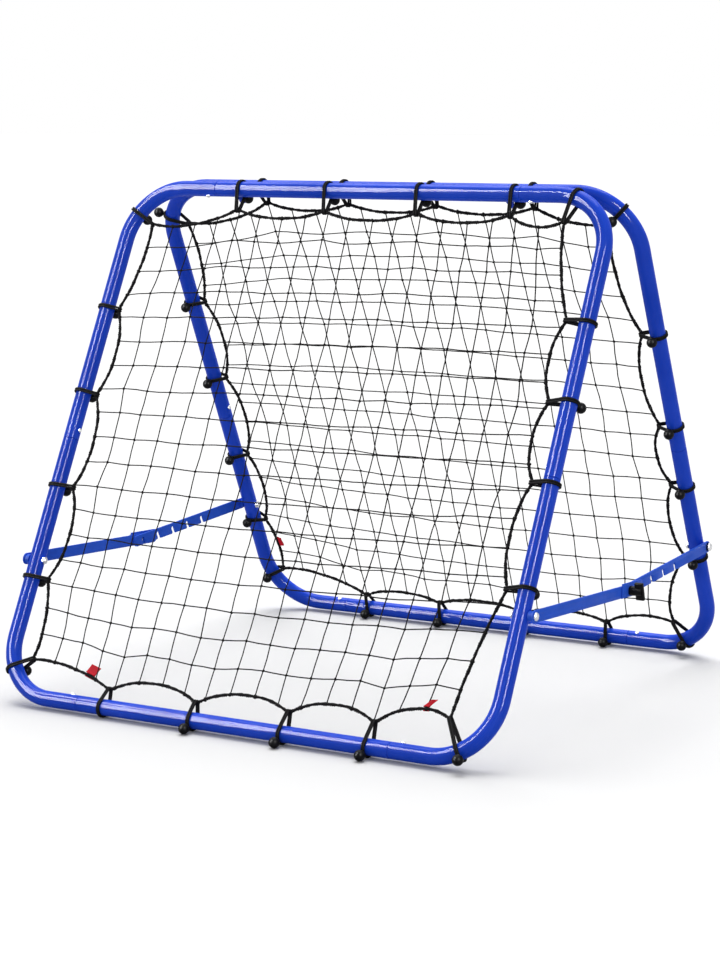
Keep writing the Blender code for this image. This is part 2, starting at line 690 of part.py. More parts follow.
def border_rope(frame, outline, material):
    """The border rope with its twenty elastic loops and their toggle balls, tied into one piece."""
    inner = inset(outline, ROPE_WIDTH)
    half = ROPE_THICKNESS / 2
    rings = []
    for points, y in ((outline, -half), (outline, half), (inner, half), (inner, -half)):
        rings.append([(point.x, y, point.y) for point in points])
    name = f"{frame.name}_border_rope"
    rope = finish(add(name, skin(name, rings, closed=True), frame.empty), material)
    lean = frame.angle
    # On the bottom tube one flat of each loop lies level, because the frame stands on it.
    nearest = round((lean - LOOP_STEP / 2) / LOOP_STEP) * LOOP_STEP + LOOP_STEP / 2
    for tie, centre, inward, reach, ball in loop_places(frame):
        level = lean - nearest if tie.startswith("bottom") else 0
        band = loop_band(frame, tie, centre, inward, reach, level)
        knob = toggle_ball(frame, tie, centre, inward, ball)
        for piece in (band, knob):
            boolean(rope, piece, "UNION")


def red_tags(material):
    """Small folded tags, flat on the outer face of the border rope."""
    for name, frame, share, on_bottom in TAGS:
        sides = frame.border["bottom" if on_bottom else "left"]
        point = read_side(sides, share)
        inward = Vector((0, 1)) if on_bottom else Vector((1, 0))
        middle = point + inward * ROPE_WIDTH / 2
        lift = ROPE_THICKNESS / 2 + CLEARANCE + TAG_THICKNESS / 2
        place = (middle.x, -frame.sign * lift if on_bottom else lift * frame.sign, middle.y)
        half_width, half_height = TAG_WIDTH / 2, TAG_HEIGHT / 2
        outline = [(-half_width, -half_height), (half_width, -half_height)]
        outline += [(half_width * TAG_CUT, half_height), (-half_width, half_height * TAG_CUT)]
        mesh = prism(name, outline, -TAG_THICKNESS / 2, TAG_THICKNESS / 2)
        finish(add(name, mesh, frame.empty, place, (pi / 2, 0, 0)), material, smooth=False)


def bolt(name, parent, place, direction, length, material):
    """A domed bolt: place is under its head, and direction runs from the head to the tip."""
    profile = [
        (0, -BOLT_HEAD_HEIGHT),
        (BOLT_HEAD_RADIUS * BOLT_CROWN, -BOLT_HEAD_HEIGHT),
        (BOLT_HEAD_RADIUS, -BOLT_HEAD_HEIGHT * BOLT_SHOULDER),
        (BOLT_HEAD_RADIUS, 0),
        (BOLT_RADIUS, 0),
        (BOLT_RADIUS, length),
        (0, length),
    ]
    turn = Vector(direction).to_track_quat("Z", "Y").to_euler()
    return finish(add(name, turned(name, profile), parent, place, turn), material)


def nut(name, parent, place, direction, material):
    """A hexagon nut: place is the middle of its seat, and direction runs away from the seat."""
    bore = (BOLT_RADIUS + CLEARANCE) / cos(pi / 6)
    profile = [(bore, 0), (NUT_RADIUS, 0), (NUT_RADIUS, NUT_THICKNESS), (bore, NUT_THICKNESS)]
    turn = Vector(direction).to_track_quat("Z", "Y").to_euler()
    mesh = turned(name, profile, sides=6, closed=True)
    return finish(add(name, mesh, parent, place, turn), material, smooth=False)


def hinge_bolts(material):
    """The fold axis: a bolt and a nut through both ears at each end of the top tubes."""
    half = EAR_THICKNESS + CLEARANCE / 2
    for side, word in ((-1, "left"), (1, "right")):
        head = (side * (HINGE_X + half + CLEARANCE), FOLD_Y, FOLD_Z)
        seat = (side * (HINGE_X - half - CLEARANCE), FOLD_Y, FOLD_Z)
        length = 2 * (half + CLEARANCE) + NUT_THICKNESS
        bolt(f"hinge_bolt_{word}", None, head, (-side, 0, 0), length, material)
        nut(f"hinge_nut_{word}", None, seat, (-side, 0, 0), material)


def pivot_fasteners(frame, arm_x, cover, steel, blue):
    """Bolt, nut and spacer of each arm's pivot on its leg. cover is the metal under the bolt's head."""
    for side, word in ((-1, "left"), (1, "right")):
        pivot = -frame.pivot
        leg_face = HALF_WIDTH + TUBE_RADIUS + CLEARANCE
        spacer = arm_x - CLEARANCE - leg_face
        bore = HOLE_RADIUS
        profile = [(bore, 0), (SPACER_RADIUS, 0), (SPACER_RADIUS, spacer), (bore, spacer)]
        mesh = turned(f"{frame.name}_spacer_{word}", profile, closed=True)
        place = (side * leg_face, 0, pivot)
        finish(add(mesh.name, mesh, frame.empty, place, (0, side * pi / 2, 0)), blue)
        under_head = arm_x + cover + CLEARANCE
        nut_seat = HALF_WIDTH - TUBE_RADIUS - CLEARANCE
        length = under_head - nut_seat + NUT_THICKNESS
        name = f"{frame.name}_pivot_bolt_{word}"
        bolt(name, frame.empty, (side * under_head, 0, pivot), (-side, 0, 0), length, steel)
        seat = (side * nut_seat, 0, pivot)
        nut(f"{frame.name}_pivot_nut_{word}", frame.empty, seat, (-side, 0, 0), steel)


def arm_outline(length, notches):
    """A flat bar from its pivot at the origin, with round ends; notches open in its lower edge."""
    half = ARM_WIDTH / 2
    outline = arc((0, 0), half, pi * 3 / 2, pi / 2, 6)
    outline += arc((length, 0), half, pi / 2, -pi / 2, 6)
    radius = HOLE_RADIUS
    for along in sorted(notches, reverse=True):
        mouth = along - NOTCH_LEAN
        outline.append((mouth + radius, -half))
        outline += arc((along, 0), radius, 0, pi, 5)
        outline.append((mouth - radius, -half))
    return outline


def arm_axes(pivot, knee):
    """Axes of an arm: x towards the knee, y up and z along the pivot."""
    ahead = (knee - pivot).normalized()
    up = Vector((0, -ahead.z, ahead.y)) if ahead.y > 0 else Vector((0, ahead.z, -ahead.y))
    return Matrix((ahead, up, ahead.cross(up))).transposed().to_euler()


def arms(steel, blue, black):
    """The two pairs of arms, with the guide plates, studs and wing knobs of the front pair."""
    front = FRONT.world(0, FRONT.pivot)
    rear = REAR.world(0, REAR.pivot)
    knee = front.lerp(rear, KNEE_SHARE) - Vector((0, 0, KNEE_SAG))
    front_length = (knee - front).length
    rear_length = (knee - rear).length
    front_axis = add("front_arm_axis", None, None, front, arm_axes(front, knee))
    rear_axis = add("rear_arm_axis", None, None, rear, arm_axes(rear, knee))
    hole = circle((0, 0), HOLE_RADIUS)
    front_bar = [arm_outline(front_length + FRONT_ARM_PAST_KNEE - ARM_WIDTH / 2, []), hole]
    front_bar.append(circle((front_length, 0), HOLE_RADIUS))
    notches = [rear_length - NOTCH_PITCH * k for k in range(NOTCH_COUNT)]
    rear_bar = [arm_outline(rear_length + REAR_ARM_PAST_KNEE - ARM_WIDTH / 2, notches), hole]
    for side, word in ((-1, "left"), (1, "right")):
        name = f"front_arm_{word}"
        place = (0, 0, side * (FRONT_ARM_X + ARM_THICKNESS / 2))
        finish(add(name, plate(name, front_bar, ARM_THICKNESS), front_axis, place), blue, smooth=False)
        name = f"rear_arm_{word}"
        place = (0, 0, -side * (REAR_ARM_X + ARM_THICKNESS / 2))
        finish(add(name, plate(name, rear_bar, ARM_THICKNESS), rear_axis, place), blue, smooth=False)
        guide_plate(word, side, front_axis, front_length, blue)
        knee_stud(word, side, front_axis, front_length, steel)
        wing_knob(word, side, knee, black)


def guide_plate(word, side, axis, knee_at, material):
    """The plate on the outside of a front arm's end, with its upper lip."""
    end = knee_at + FRONT_ARM_PAST_KNEE
    low, high = -ARM_WIDTH / 2, ARM_WIDTH / 2 + GUIDE_LIP
    corner = GUIDE_CORNER
    outline = [(end - GUIDE_LENGTH, low), (end - corner, low), (end, low + corner), (end, high - corner)]
    outline += [(end - corner, high), (end - GUIDE_LENGTH, high)]
    name = f"guide_plate_{word}"
    curve = plate(name, [outline, circle((knee_at, 0), HOLE_RADIUS)], GUIDE_THICKNESS)
    place = (0, 0, side * (GUIDE_X + GUIDE_THICKNESS / 2))
    finish(add(name, curve, axis, place), material, smooth=False)


def knee_stud(word, side, axis, knee_at, material):
    """The stud that the knob turns on. It stops just short of the rear arm."""
    name = f"knee_stud_{word}"
    length = GUIDE_X + GUIDE_THICKNESS + STUD_PAST_GUIDE - FRONT_ARM_X
    profile = [(0, 0), (BOLT_RADIUS, 0), (BOLT_RADIUS, length), (0, length)]
    place = (knee_at, 0, side * FRONT_ARM_X)
    turn = (0 if side > 0 else pi, 0, 0)
    finish(add(name, turned(name, profile), axis, place, turn), material)


def wing_knob(word, side, knee, material):
    """A moulded knob: a round hub and two wings, bored for the stud."""
    name = f"wing_knob_{word}"
    hub = KNOB_HUB_RADIUS
    base = hub - KNOB_CHAMFER
    profile = [(0, 0), (base, 0), (hub, KNOB_CHAMFER), (base, KNOB_HUB_LENGTH), (0, KNOB_HUB_LENGTH)]
    body = turned(name, profile)
    tip = KNOB_SPAN / 2
    wing = [(base, KNOB_WING_START - KNOB_WING_RISE), (tip, KNOB_WING_START), (tip, KNOB_LENGTH)]
    outline = wing + [(-x, along) for x, along in wing[::-1]]
    wings = prism(f"{name}_wings", outline, -KNOB_WING_THICKNESS / 2, KNOB_WING_THICKNESS / 2)
    # The wings' outline runs across and along the hub.
    wings.transform(Matrix.Rotation(pi / 2, 4, "X"))
    place = (side * KNOB_X, knee.y, knee.z)
    turn = (Matrix.Rotation(KNOB_TURNS[word], 3, "X") @ Matrix.Rotation(side * pi / 2, 3, "Y")).to_euler()
    knob = finish(add(name, body, None, place, turn), material)
    boolean(knob, helper(add(f"{name}_wings", wings, None, place, turn)), "UNION")
    depth = STUD_PAST_GUIDE + RUNNING_GAP
    bore = turned(f"{name}_bore", [(0, -depth), (HOLE_RADIUS, -depth), (HOLE_RADIUS, depth), (0, depth)])
    boolean(knob, helper(add(f"{name}_bore", bore, None, place, turn)), "DIFFERENCE")


def build():
    clear_scene()
    tube_blue = paint("tube_blue", (0.01, 0.05, 0.62), 0.22)
    arm_blue = paint("arm_blue", (0.01, 0.05, 0.50), 0.40)
    steel = paint("zinc_steel", (0.62, 0.62, 0.64), 0.30, 1.0)
    cord_black = paint("cord_black", (0.012, 0.012, 0.014), 0.70)
    twine_black = paint("twine_black", (0.015, 0.015, 0.017), 0.85)
    knob_black = paint("knob_black", (0.015, 0.015, 0.016), 0.35)
    tag_red = paint("tag_red", (0.75, 0.03, 0.03), 0.60)
    fold_axis = add("fold_axis", None, None, (0, FOLD_Y, FOLD_Z))
    for frame in (FRONT, REAR):
        place = frame.place if frame is FRONT else frame.place - Vector((0, FOLD_Y, FOLD_Z))
        parent = None if frame is FRONT else fold_axis
        frame.empty = add(f"{frame.name}_plane", None, parent, place, (frame.angle, 0, 0))
    for frame in (FRONT, REAR):
        holes = hole_cutters(frame)
        for end in (1, -1):
            straight_tube(frame, end, holes, tube_blue)
            for side in (-1, 1):
                corner_tube(frame, side, end, holes, tube_blue)
        screws(frame, steel)
        frame.border = border_outline(frame)
        outline = ring_of(frame.border)
        border_rope(frame, outline, cord_black)
        net(frame, outline, twine_black)
    red_tags(tag_red)
    hinge_bolts(steel)
    pivot_fasteners(FRONT, FRONT_ARM_X, ARM_THICKNESS, steel, arm_blue)
    pivot_fasteners(REAR, REAR_ARM_X, ARM_THICKNESS, steel, arm_blue)
    arms(steel, arm_blue, knob_black)


build()
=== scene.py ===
from math import asin, cos, pi, radians, sin
from random import Random

import bmesh
import bpy
from mathutils import Matrix, Vector


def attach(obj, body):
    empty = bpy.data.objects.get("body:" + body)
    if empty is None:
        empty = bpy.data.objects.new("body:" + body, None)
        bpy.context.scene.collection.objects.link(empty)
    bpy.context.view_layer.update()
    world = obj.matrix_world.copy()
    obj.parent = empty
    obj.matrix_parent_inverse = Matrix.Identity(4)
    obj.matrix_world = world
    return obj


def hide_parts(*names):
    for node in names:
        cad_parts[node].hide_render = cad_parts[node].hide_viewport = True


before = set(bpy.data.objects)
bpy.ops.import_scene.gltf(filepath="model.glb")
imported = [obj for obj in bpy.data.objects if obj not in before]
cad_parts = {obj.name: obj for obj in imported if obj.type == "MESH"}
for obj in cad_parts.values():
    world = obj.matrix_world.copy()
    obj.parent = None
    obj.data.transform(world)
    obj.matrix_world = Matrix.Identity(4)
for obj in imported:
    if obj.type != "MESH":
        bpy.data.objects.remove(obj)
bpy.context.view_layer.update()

# The camera stands where the photograph was taken from.
CAMERA_AZIMUTH = radians(31.380)
CAMERA_ELEVATION = radians(9.532)
CAMERA_ROLL = radians(-0.838)
CAMERA_DISTANCE = 4.8407
CAMERA_TARGET = Vector((-0.0406, 0.0571, 0.3800))
CAMERA_LENS = 93.767

# Sizes of the two frames, in metres
HALF_WIDTH = 0.520
FRAME_DROP = 0.919
TOP_SPACING = 0.066
CORNER_RADIUS = 0.112
TUBE_RADIUS = 0.015
TUBE_SIDES = 40
BEND_STEPS = 20
SEAM = 0.333  # from the middle of a level tube to its ends
SEAM_GAP = 0.0003
TUBE_EDGE = 0.0005
SCREW_FROM_SEAM = 0.020
HINGE_X = 0.298
HINGE_DROP = 0.017
EAR_THICKNESS = 0.003
EAR_RADIUS = 0.012
EAR_SPREAD = radians(48)  # half of the turn of tube that an ear is welded to
WELD_DEPTH = 0.001
EDGE_BREAK = 0.0005  # of the ears and guide plates
TOP_Z = 0.938104
FOLD_Y = 0.057144
FOLD_Z = TOP_Z - HINGE_DROP
CLEARANCE = 0.0003

# Cords, balls and nets
CORD_RADIUS = 0.0020
LOOP_RADIUS = TUBE_RADIUS + 0.0021
LOOP_LEAN = 0.004  # how far a loop may lean along its tube
LOOP_SPREAD = 0.0005  # how far its two strands may part at the rope
LOOP_SQUEEZE = 0.0001  # how far they press into each other
BALL_RADIUS = 0.010
BALL_REACH = 0.028887
FRONT_TOP_BALL = (0.756, -0.654)  # where the balls point, as world (y, z)
REAR_TOP_BALL = (0.980, -0.199)
LOW_BALL = (-0.954, -0.300)
LOW_BALL_BEHIND = (0.954, -0.300)
TOP_CORNER_BALL_TILT = radians(22)
INNER_BALL_TILT = radians(35)
OUTER_BALL_TILT = radians(70)
BALL_TILT_BY_ARM = radians(20)  # as far out as the folding arms leave room
ROPE_WIDTH = 0.007
ROPE_RADIUS = 0.0032
ROPE_LAY = 0.013  # length of one turn of its strands
LAY_STEPS = 8
STRANDS = 3
STRAND_PLACE = 0.54  # of the rope's radius, to the middle of a strand
STRAND_SHARE = 0.47  # of the rope's radius, for a strand's own
ROPE_SWELLS = ((0.30, 0.61), (0.18, 0.173))  # how much and how often its slack comes and goes
LOOPS = 4  # on each side, between its two corner loops
SPANS = LOOPS + 1  # of rope between them
SCALLOP_STEPS = 12
SCALLOP_POWER = 2.4  # 2 is a parabola, and more is flatter in the middle
CELLS = 18
TWINE_RADIUS = 0.0012
KNOT_RADIUS = 0.0028
BORDER_KNOT = 1.5  # size of a knot on the rope, against one in the net
KNOT_SHAKE = 0.0020  # how far a knot sits off its regular place
SHAKE_OUT = 0.7  # share of it out of the net's plane
TWINE_SLACK = 0.0009
SMOOTH_FADE = 1.5  # how fast a side's broad curve dies away into the net
RIPPLE_FADE = 14  # and how fast its scallops do

# Arms and fasteners
BOLT_RADIUS = 0.004
HOLE_RADIUS = 0.00452
ARM_WIDTH = 0.022
ARM_THICKNESS = 0.003
REAR_ARM_X = 0.540787
FRONT_ARM_X = 0.544087
GUIDE_X = 0.547387
KNOB_X = 0.549687
GUIDE_THICKNESS = 0.002
GUIDE_LENGTH = 0.084
GUIDE_LIP = 0.0045  # how far the guide plate stands above the bar
GUIDE_CORNER = 0.004
BAR_EDGE_BREAK = 0.0006
KNEE_SHARE = 0.504  # of the way from the front pivot to the rear one
KNEE_SAG = 0.021
FRONT_ARM_PAST_KNEE = 0.052
REAR_ARM_PAST_KNEE = 0.031
NOTCHES = 5
NOTCH_PITCH = 0.052
NOTCH_LEAN = 0.004  # shift of a notch's mouth towards the rear pivot
STUD_PAST_GUIDE = 0.018
STUD_LENGTH = GUIDE_X + GUIDE_THICKNESS + STUD_PAST_GUIDE - FRONT_ARM_X
HINGE_BOLT_TIP = 0.0060  # from the nut's seat to the bolt's end
PIVOT_BOLT_TIP = 0.0062
KNOB_TURNS = {"left": radians(94), "right": radians(14)}  # of the wings, from upright

chance = Random(11)


# Modelling


def pick(*objects):
    bpy.ops.object.select_all(action="DESELECT")
    for obj in objects:
        obj.select_set(True)
    if objects:
        bpy.context.view_layer.objects.active = objects[0]


def active():
    return bpy.context.view_layer.objects.active


def edit(obj, kind="VERT"):
    pick(obj)
    bpy.ops.object.mode_set(mode="EDIT")
    bpy.ops.mesh.select_mode(type=kind)
    bpy.ops.mesh.select_all(action="SELECT")


def leave_edit():
    bpy.ops.object.mode_set(mode="OBJECT")


def choose(obj, test):
    """In edit mode, selects the faces whose middle and normal pass the test."""
    bpy.ops.mesh.select_mode(type="FACE")
    bpy.ops.mesh.select_all(action="DESELECT")
    bm = bmesh.from_edit_mesh(obj.data)
    for face in bm.faces:
        if test(face.calc_center_median(), face.normal):
            face.select_set(True)
    bmesh.update_edit_mesh(obj.data)


def settle(obj, matrix=None):
    """Puts a piece's place into its mesh."""
    pick(obj)
    if matrix is not None:
        obj.matrix_world = matrix @ obj.matrix_world
        bpy.context.view_layer.update()
    bpy.ops.object.transform_apply(location=True, rotation=True, scale=True)


def modify(obj, kind, **settings):
    modifier = obj.modifiers.new(kind.lower(), kind)
    for name, value in settings.items():
        setattr(modifier, name, value)
    pick(obj)
    bpy.ops.object.modifier_apply(modifier=modifier.name)


def round_edges(obj, width, segments=2):
    modify(obj, "BEVEL", width=width, segments=segments, limit_method="ANGLE", angle_limit=radians(40))


def smooth(obj, angle=35):
    pick(obj)
    bpy.ops.object.shade_smooth_by_angle(angle=radians(angle))


def close_up(obj):
    """Merges a piece's doubles and turns its faces outwards."""
    edit(obj)
    bpy.ops.mesh.remove_doubles(threshold=0.00002)
    bpy.ops.mesh.normals_make_consistent(inside=False)
    leave_edit()


def draw_out(step):
    bpy.ops.mesh.extrude_region_move(TRANSFORM_OT_translate={"value": step})


def resize(factor, centre):
    bpy.ops.transform.resize(value=factor, center_override=centre)


def turned(name, profile, sides=32, bored=False):
    """A piece turned about z: a disc drawn up and resized through (radius, height) stations."""
    radius, height = profile[0]
    pick()
    fill = "NOTHING" if bored else "NGON"
    bpy.ops.mesh.primitive_circle_add(vertices=sides, radius=radius, fill_type=fill, location=(0, 0, height))
    obj = active()
    obj.name = name
    settle(obj)
    edit(obj, "EDGE" if bored else "FACE")
    for (near, low), (far, high) in zip(profile, profile[1:]):
        draw_out((0, 0, high - low))
        resize((far / near, far / near, 1), (0, 0, high))
    leave_edit()
    close_up(obj)
    smooth(obj)
    return obj


def flat_piece(name, outlines, thickness, rounding):
    """A plate cut to its outlines, which are (x, y) points, with its edges broken."""
    curve = bpy.data.curves.new(name, "CURVE")
    curve.dimensions = "2D"
    curve.fill_mode = "BOTH"
    curve.extrude = thickness / 2
    for outline in outlines:
        spline = curve.splines.new("POLY")
        spline.points.add(len(outline) - 1)
        spline.use_cyclic_u = True
        for point, (x, y) in zip(spline.points, outline):
            point.co = (x, y, 0, 1)
    obj = bpy.data.objects.new(name, curve)
    bpy.context.scene.collection.objects.link(obj)
    pick(obj)
    bpy.ops.object.convert(target="MESH")
    obj = active()
    close_up(obj)
    round_edges(obj, rounding)
    smooth(obj)
    return obj


def cords(name, paths, radius, closed=False, sides=1):
    """Round cords along lists of points, as one mesh."""
    curve = bpy.data.curves.new(name, "CURVE")
    curve.dimensions = "3D"
    curve.bevel_depth = radius
    curve.bevel_resolution = sides
    curve.use_fill_caps = not closed
    for path in paths:
        spline = curve.splines.new("POLY")
        spline.points.add(len(path) - 1)
        spline.points.foreach_set("co", [value for point in path for value in (*point, 1.0)])
        spline.use_cyclic_u = closed
    obj = bpy.data.objects.new(name, curve)
    bpy.context.scene.collection.objects.link(obj)
    pick(obj)
    bpy.ops.object.convert(target="MESH")
    obj = active()
    smooth(obj, 60)
    return obj


def copy_of(model, name, matrix):
    """A copy of a model, with its own mesh, at its place."""
    obj = model.copy()
    obj.data = model.data.copy()
    obj.name = name
    bpy.context.scene.collection.objects.link(obj)
    obj.data.transform(matrix)
    return obj


def joined(name, objects):
    pick(*objects)
    bpy.ops.object.join()
    obj = active()
    obj.name = name
    return obj


def finished(obj, material, body, slot, *nodes):
    """Gives a piece its material, the body that it rides on and the nodes that it stands for."""
    obj.data.materials.clear()
    obj.data.materials.append(material)
    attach(obj, body)
    if nodes:
        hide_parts(*nodes)
    return obj


def arc(centre, radius, start, end, steps):
    angles = [start + (end - start) * k / steps for k in range(steps + 1)]
    return [(centre[0] + radius * cos(angle), centre[1] + radius * sin(angle)) for angle in angles]


def circle(centre, radius, sides=32):
    return arc(centre, radius, 0, 2 * pi, sides)[:-1]


def aimed(place, direction):
    """The place and turn of a piece whose own z points along direction."""
    return Matrix.Translation(place) @ Vector(direction).to_track_quat("Z", "Y").to_matrix().to_4x4()


# Materials


class Wire:
    """A shader value that can be multiplied."""

    def __init__(self, finish, socket):
        self.finish = finish
        self.socket = socket

    def worked_out(self, operation, first, second):
        return self.finish.node("ShaderNodeMath", {"operation": operation}, {0: first, 1: second})

    def __mul__(self, other):
        return self.worked_out("MULTIPLY", self, other)

    def __rmul__(self, other):
        return self.worked_out("MULTIPLY", other, self)


class Finish:
    """A material and its nodes."""

    def __init__(self, name, **constants):
        self.material = bpy.data.materials.new(name)
        self.material.use_nodes = True
        self.tree = self.material.node_tree
        self.shader = self.tree.nodes["Principled BSDF"]
        self.place = self.node("ShaderNodeTexCoord", {}, {}, "Object")
        self.set(**constants)

    def connect(self, value, socket):
        if isinstance(value, Wire):
            self.tree.links.new(value.socket, socket)
        elif isinstance(value, tuple) and socket.type == "RGBA":
            socket.default_value = (*value, 1.0)
        else:
            socket.default_value = value

    def node(self, kind, settings, inputs, output=0):
        node = self.tree.nodes.new(kind)
        for name, value in settings.items():
            setattr(node, name, value)
        for name, value in inputs.items():
            self.connect(value, node.inputs[name])
        return Wire(self, node.outputs[output])

    def set(self, **sockets):
        for name, value in sockets.items():
            self.connect(value, self.shader.inputs[name.replace("_", " ")])

    def noise(self, scale, detail=2.0):
        return self.node("ShaderNodeTexNoise", {}, {"Vector": self.place, "Scale": scale, "Detail": detail})

    def mix(self, factor, first, second):
        return self.node("ShaderNodeMix", {"data_type": "RGBA"}, {0: factor, 6: first, 7: second}, 2)

    def span(self, value, low, high, new_low=0.0, new_high=1.0):
        return self.node("ShaderNodeMapRange", {}, {0: value, 1: low, 2: high, 3: new_low, 4: new_high})

    def bump(self, height, distance, strength=1.0):
        inputs = {"Strength": strength, "Distance": distance, "Height": height}
        self.set(Normal=self.node("ShaderNodeBump", {}, inputs))


def gloss_paint():
    """Baked gloss paint on the tubes: faint orange peel, and a little more colour where it lies thicker."""
    paint = Finish("tube_gloss_blue", Coat_Roughness=0.05, Coat_IOR=1.4, Specular_IOR_Level=0.01)
    broad = paint.noise(9.0, 3.0)
    colour = paint.mix(paint.span(broad, 0.35, 0.65), (0.009, 0.056, 0.57), (0.013, 0.068, 0.66))
    paint.set(Base_Color=colour, Coat_Weight=paint.span(broad, 0.3, 0.7, 0.17, 0.25))
    paint.set(Roughness=paint.span(paint.noise(60.0, 4.0), 0.3, 0.7, 0.24, 0.34))
    paint.bump(paint.noise(420.0), 0.000003, 0.3)
    return paint.material


def satin_paint():
    """Thinner satin paint on the flat bars."""
    paint = Finish("arm_satin_blue", Specular_IOR_Level=0.04)
    broad = paint.noise(14.0, 3.0)
    shades = (0.020, 0.092, 0.60), (0.028, 0.112, 0.70)
    paint.set(Base_Color=paint.mix(paint.span(broad, 0.35, 0.65), *shades))
    paint.set(Roughness=paint.span(paint.noise(90.0, 4.0), 0.3, 0.7, 0.36, 0.48))
    paint.bump(paint.noise(600.0), 0.00005, 0.5)
    return paint.material


def zinc_plate():
    """Bright zinc, with duller patches and fine scratches."""
    metal = Finish("zinc_plate", Metallic=1.0)
    patches = metal.noise(140.0, 4.0)
    shades = (0.46, 0.47, 0.49), (0.62, 0.62, 0.63)
    metal.set(Base_Color=metal.mix(metal.span(patches, 0.35, 0.65), *shades))
    metal.set(Roughness=metal.span(patches, 0.3, 0.7, 0.22, 0.38))
    metal.bump(metal.noise(1500.0), 0.00003, 0.4)
    return metal.material


def rope_yarn():
    """Black laid yarn, with lighter worn fibres."""
    yarn = Finish("rope_black_yarn", Specular_IOR_Level=0.03)
    fibres = yarn.noise(900.0, 3.0)
    shades = (0.003, 0.003, 0.004), (0.014, 0.013, 0.014)
    yarn.set(Base_Color=yarn.mix(yarn.span(fibres, 0.35, 0.75), *shades))
    yarn.set(Roughness=yarn.span(fibres, 0.3, 0.7, 0.62, 0.85))
    yarn.bump(fibres, 0.0004, 0.7)
    return yarn.material


def net_twine():
    """Thin twisted twine."""
    yarn = Finish("net_black_twine", Specular_IOR_Level=0.03)
    fibres = yarn.noise(1400.0, 3.0)
    shades = (0.003, 0.003, 0.003), (0.013, 0.012, 0.012)
    yarn.set(Base_Color=yarn.mix(yarn.span(fibres, 0.35, 0.75), *shades))
    yarn.set(Roughness=yarn.span(fibres, 0.3, 0.7, 0.6, 0.85))
    yarn.bump(fibres, 0.0002, 0.6)
    return yarn.material


def elastic_cover():
    """The fine woven cover of the elastic cord."""
    cover = Finish("elastic_black_cover", Specular_IOR_Level=0.04)
    weave = cover.node("ShaderNodeTexVoronoi", {}, {"Vector": cover.place, "Scale": 1100.0})
    shades = (0.012, 0.011, 0.012), (0.003, 0.003, 0.004)
    cover.set(Base_Color=cover.mix(cover.span(weave, 0.1, 0.7), *shades))
    cover.set(Roughness=cover.span(weave, 0.0, 0.8, 0.5, 0.75))
    cover.bump(weave, 0.0003, 0.5)
    return cover.material


def moulded_plastic():
    """Black moulded plastic with a fine spark texture."""
    plastic = Finish("moulded_black", Specular_IOR_Level=0.06)
    broad = plastic.noise(120.0, 3.0)
    shades = (0.003, 0.003, 0.004), (0.008, 0.008, 0.009)
    plastic.set(Base_Color=plastic.mix(plastic.span(broad, 0.3, 0.7), *shades))
    plastic.set(Roughness=plastic.span(broad, 0.3, 0.7, 0.30, 0.44))
    plastic.bump(plastic.noise(1800.0), 0.00008, 0.5)
    return plastic.material


def red_ribbon():
    """Red woven ribbon."""
    cloth = Finish("tag_red_ribbon", Specular_IOR_Level=0.04)
    bands = {"Vector": cloth.place, "Scale": 450.0}
    weave = cloth.node("ShaderNodeTexWave", {"bands_direction": "X"}, bands, "Fac")
    weave = weave * cloth.node("ShaderNodeTexWave", {"bands_direction": "Z"}, bands, "Fac")
    cloth.set(Base_Color=cloth.mix(weave, (0.60, 0.008, 0.022), (0.78, 0.018, 0.040)))
    cloth.set(Roughness=cloth.span(weave, 0.0, 1.0, 0.8, 0.6))
    cloth.bump(weave, 0.0002, 0.5)
    return cloth.material


GLOSS_BLUE = gloss_paint()
SATIN_BLUE = satin_paint()
ZINC = zinc_plate()
YARN = rope_yarn()
TWINE = net_twine()
ELASTIC = elastic_cover()
MOULDED = moulded_plastic()
RIBBON = red_ribbon()


# The planes of the two frames: x across, z up the legs, y square to the net


class Plane:
    def __init__(self, name, lean, sign, split, pivot_rise):
        self.name = name
        self.body = f"{name}_frame"
        self.sign = sign
        self.leg = FRAME_DROP / cos(lean)
        self.seam = split * self.leg
        self.pivot = self.leg - pivot_rise
        self.angle = -sign * lean
        place = Vector((0, FOLD_Y - sign * TOP_SPACING / 2, TOP_Z))
        self.matrix = Matrix.Translation(place) @ Matrix.Rotation(self.angle, 4, "X")

    def turned_in(self, y, z):
        """A world (y, z) direction as (y, z) of the plane."""
        return y * cos(self.angle) + z * sin(self.angle), z * cos(self.angle) - y * sin(self.angle)


FRONT = Plane("front", lean=radians(28.1), sign=1, split=0.513, pivot_rise=0.262)
REAR = Plane("rear", lean=radians(23.2), sign=-1, split=0.535, pivot_rise=0.243)

FRONT.top_ball = FRONT.turned_in(*FRONT_TOP_BALL)
REAR.top_ball = REAR.turned_in(*REAR_TOP_BALL)
FRONT.low_ball = FRONT.turned_in(*LOW_BALL)
REAR.low_ball = REAR.turned_in(*LOW_BALL)

# Where the elastic loops sit along each side, and how far each holds the rope from its tube
FRONT.top_loops = [0.022 - HINGE_X, -0.234 * SEAM, 0.366 * SEAM, HINGE_X + 0.020]
FRONT.bottom_loops = [-0.828 * SEAM, -0.247 * SEAM, 0.342 * SEAM, 0.865 * SEAM]
FRONT.left_loops = [0.251 * FRONT.leg, 0.422 * FRONT.leg, 0.605 * FRONT.leg, FRONT.pivot + 0.036]
FRONT.right_loops = [0.232 * FRONT.leg, 0.380 * FRONT.leg, FRONT.seam + 0.010, FRONT.pivot - 0.042]
FRONT.reach = {
    "top": [0.039] * LOOPS,
    "bottom": [0.029, 0.028, 0.035, 0.039],
    "left": [0.024, 0.027, 0.032, 0.033],
    "right": [0.037, 0.035, 0.032, 0.034],
}
REAR.top_loops = [0.026 - HINGE_X, -0.258 * SEAM, 0.324 * SEAM, HINGE_X + 0.020]
REAR.bottom_loops = [-0.841 * SEAM, -0.300 * SEAM, 0.300 * SEAM, 0.865 * SEAM]
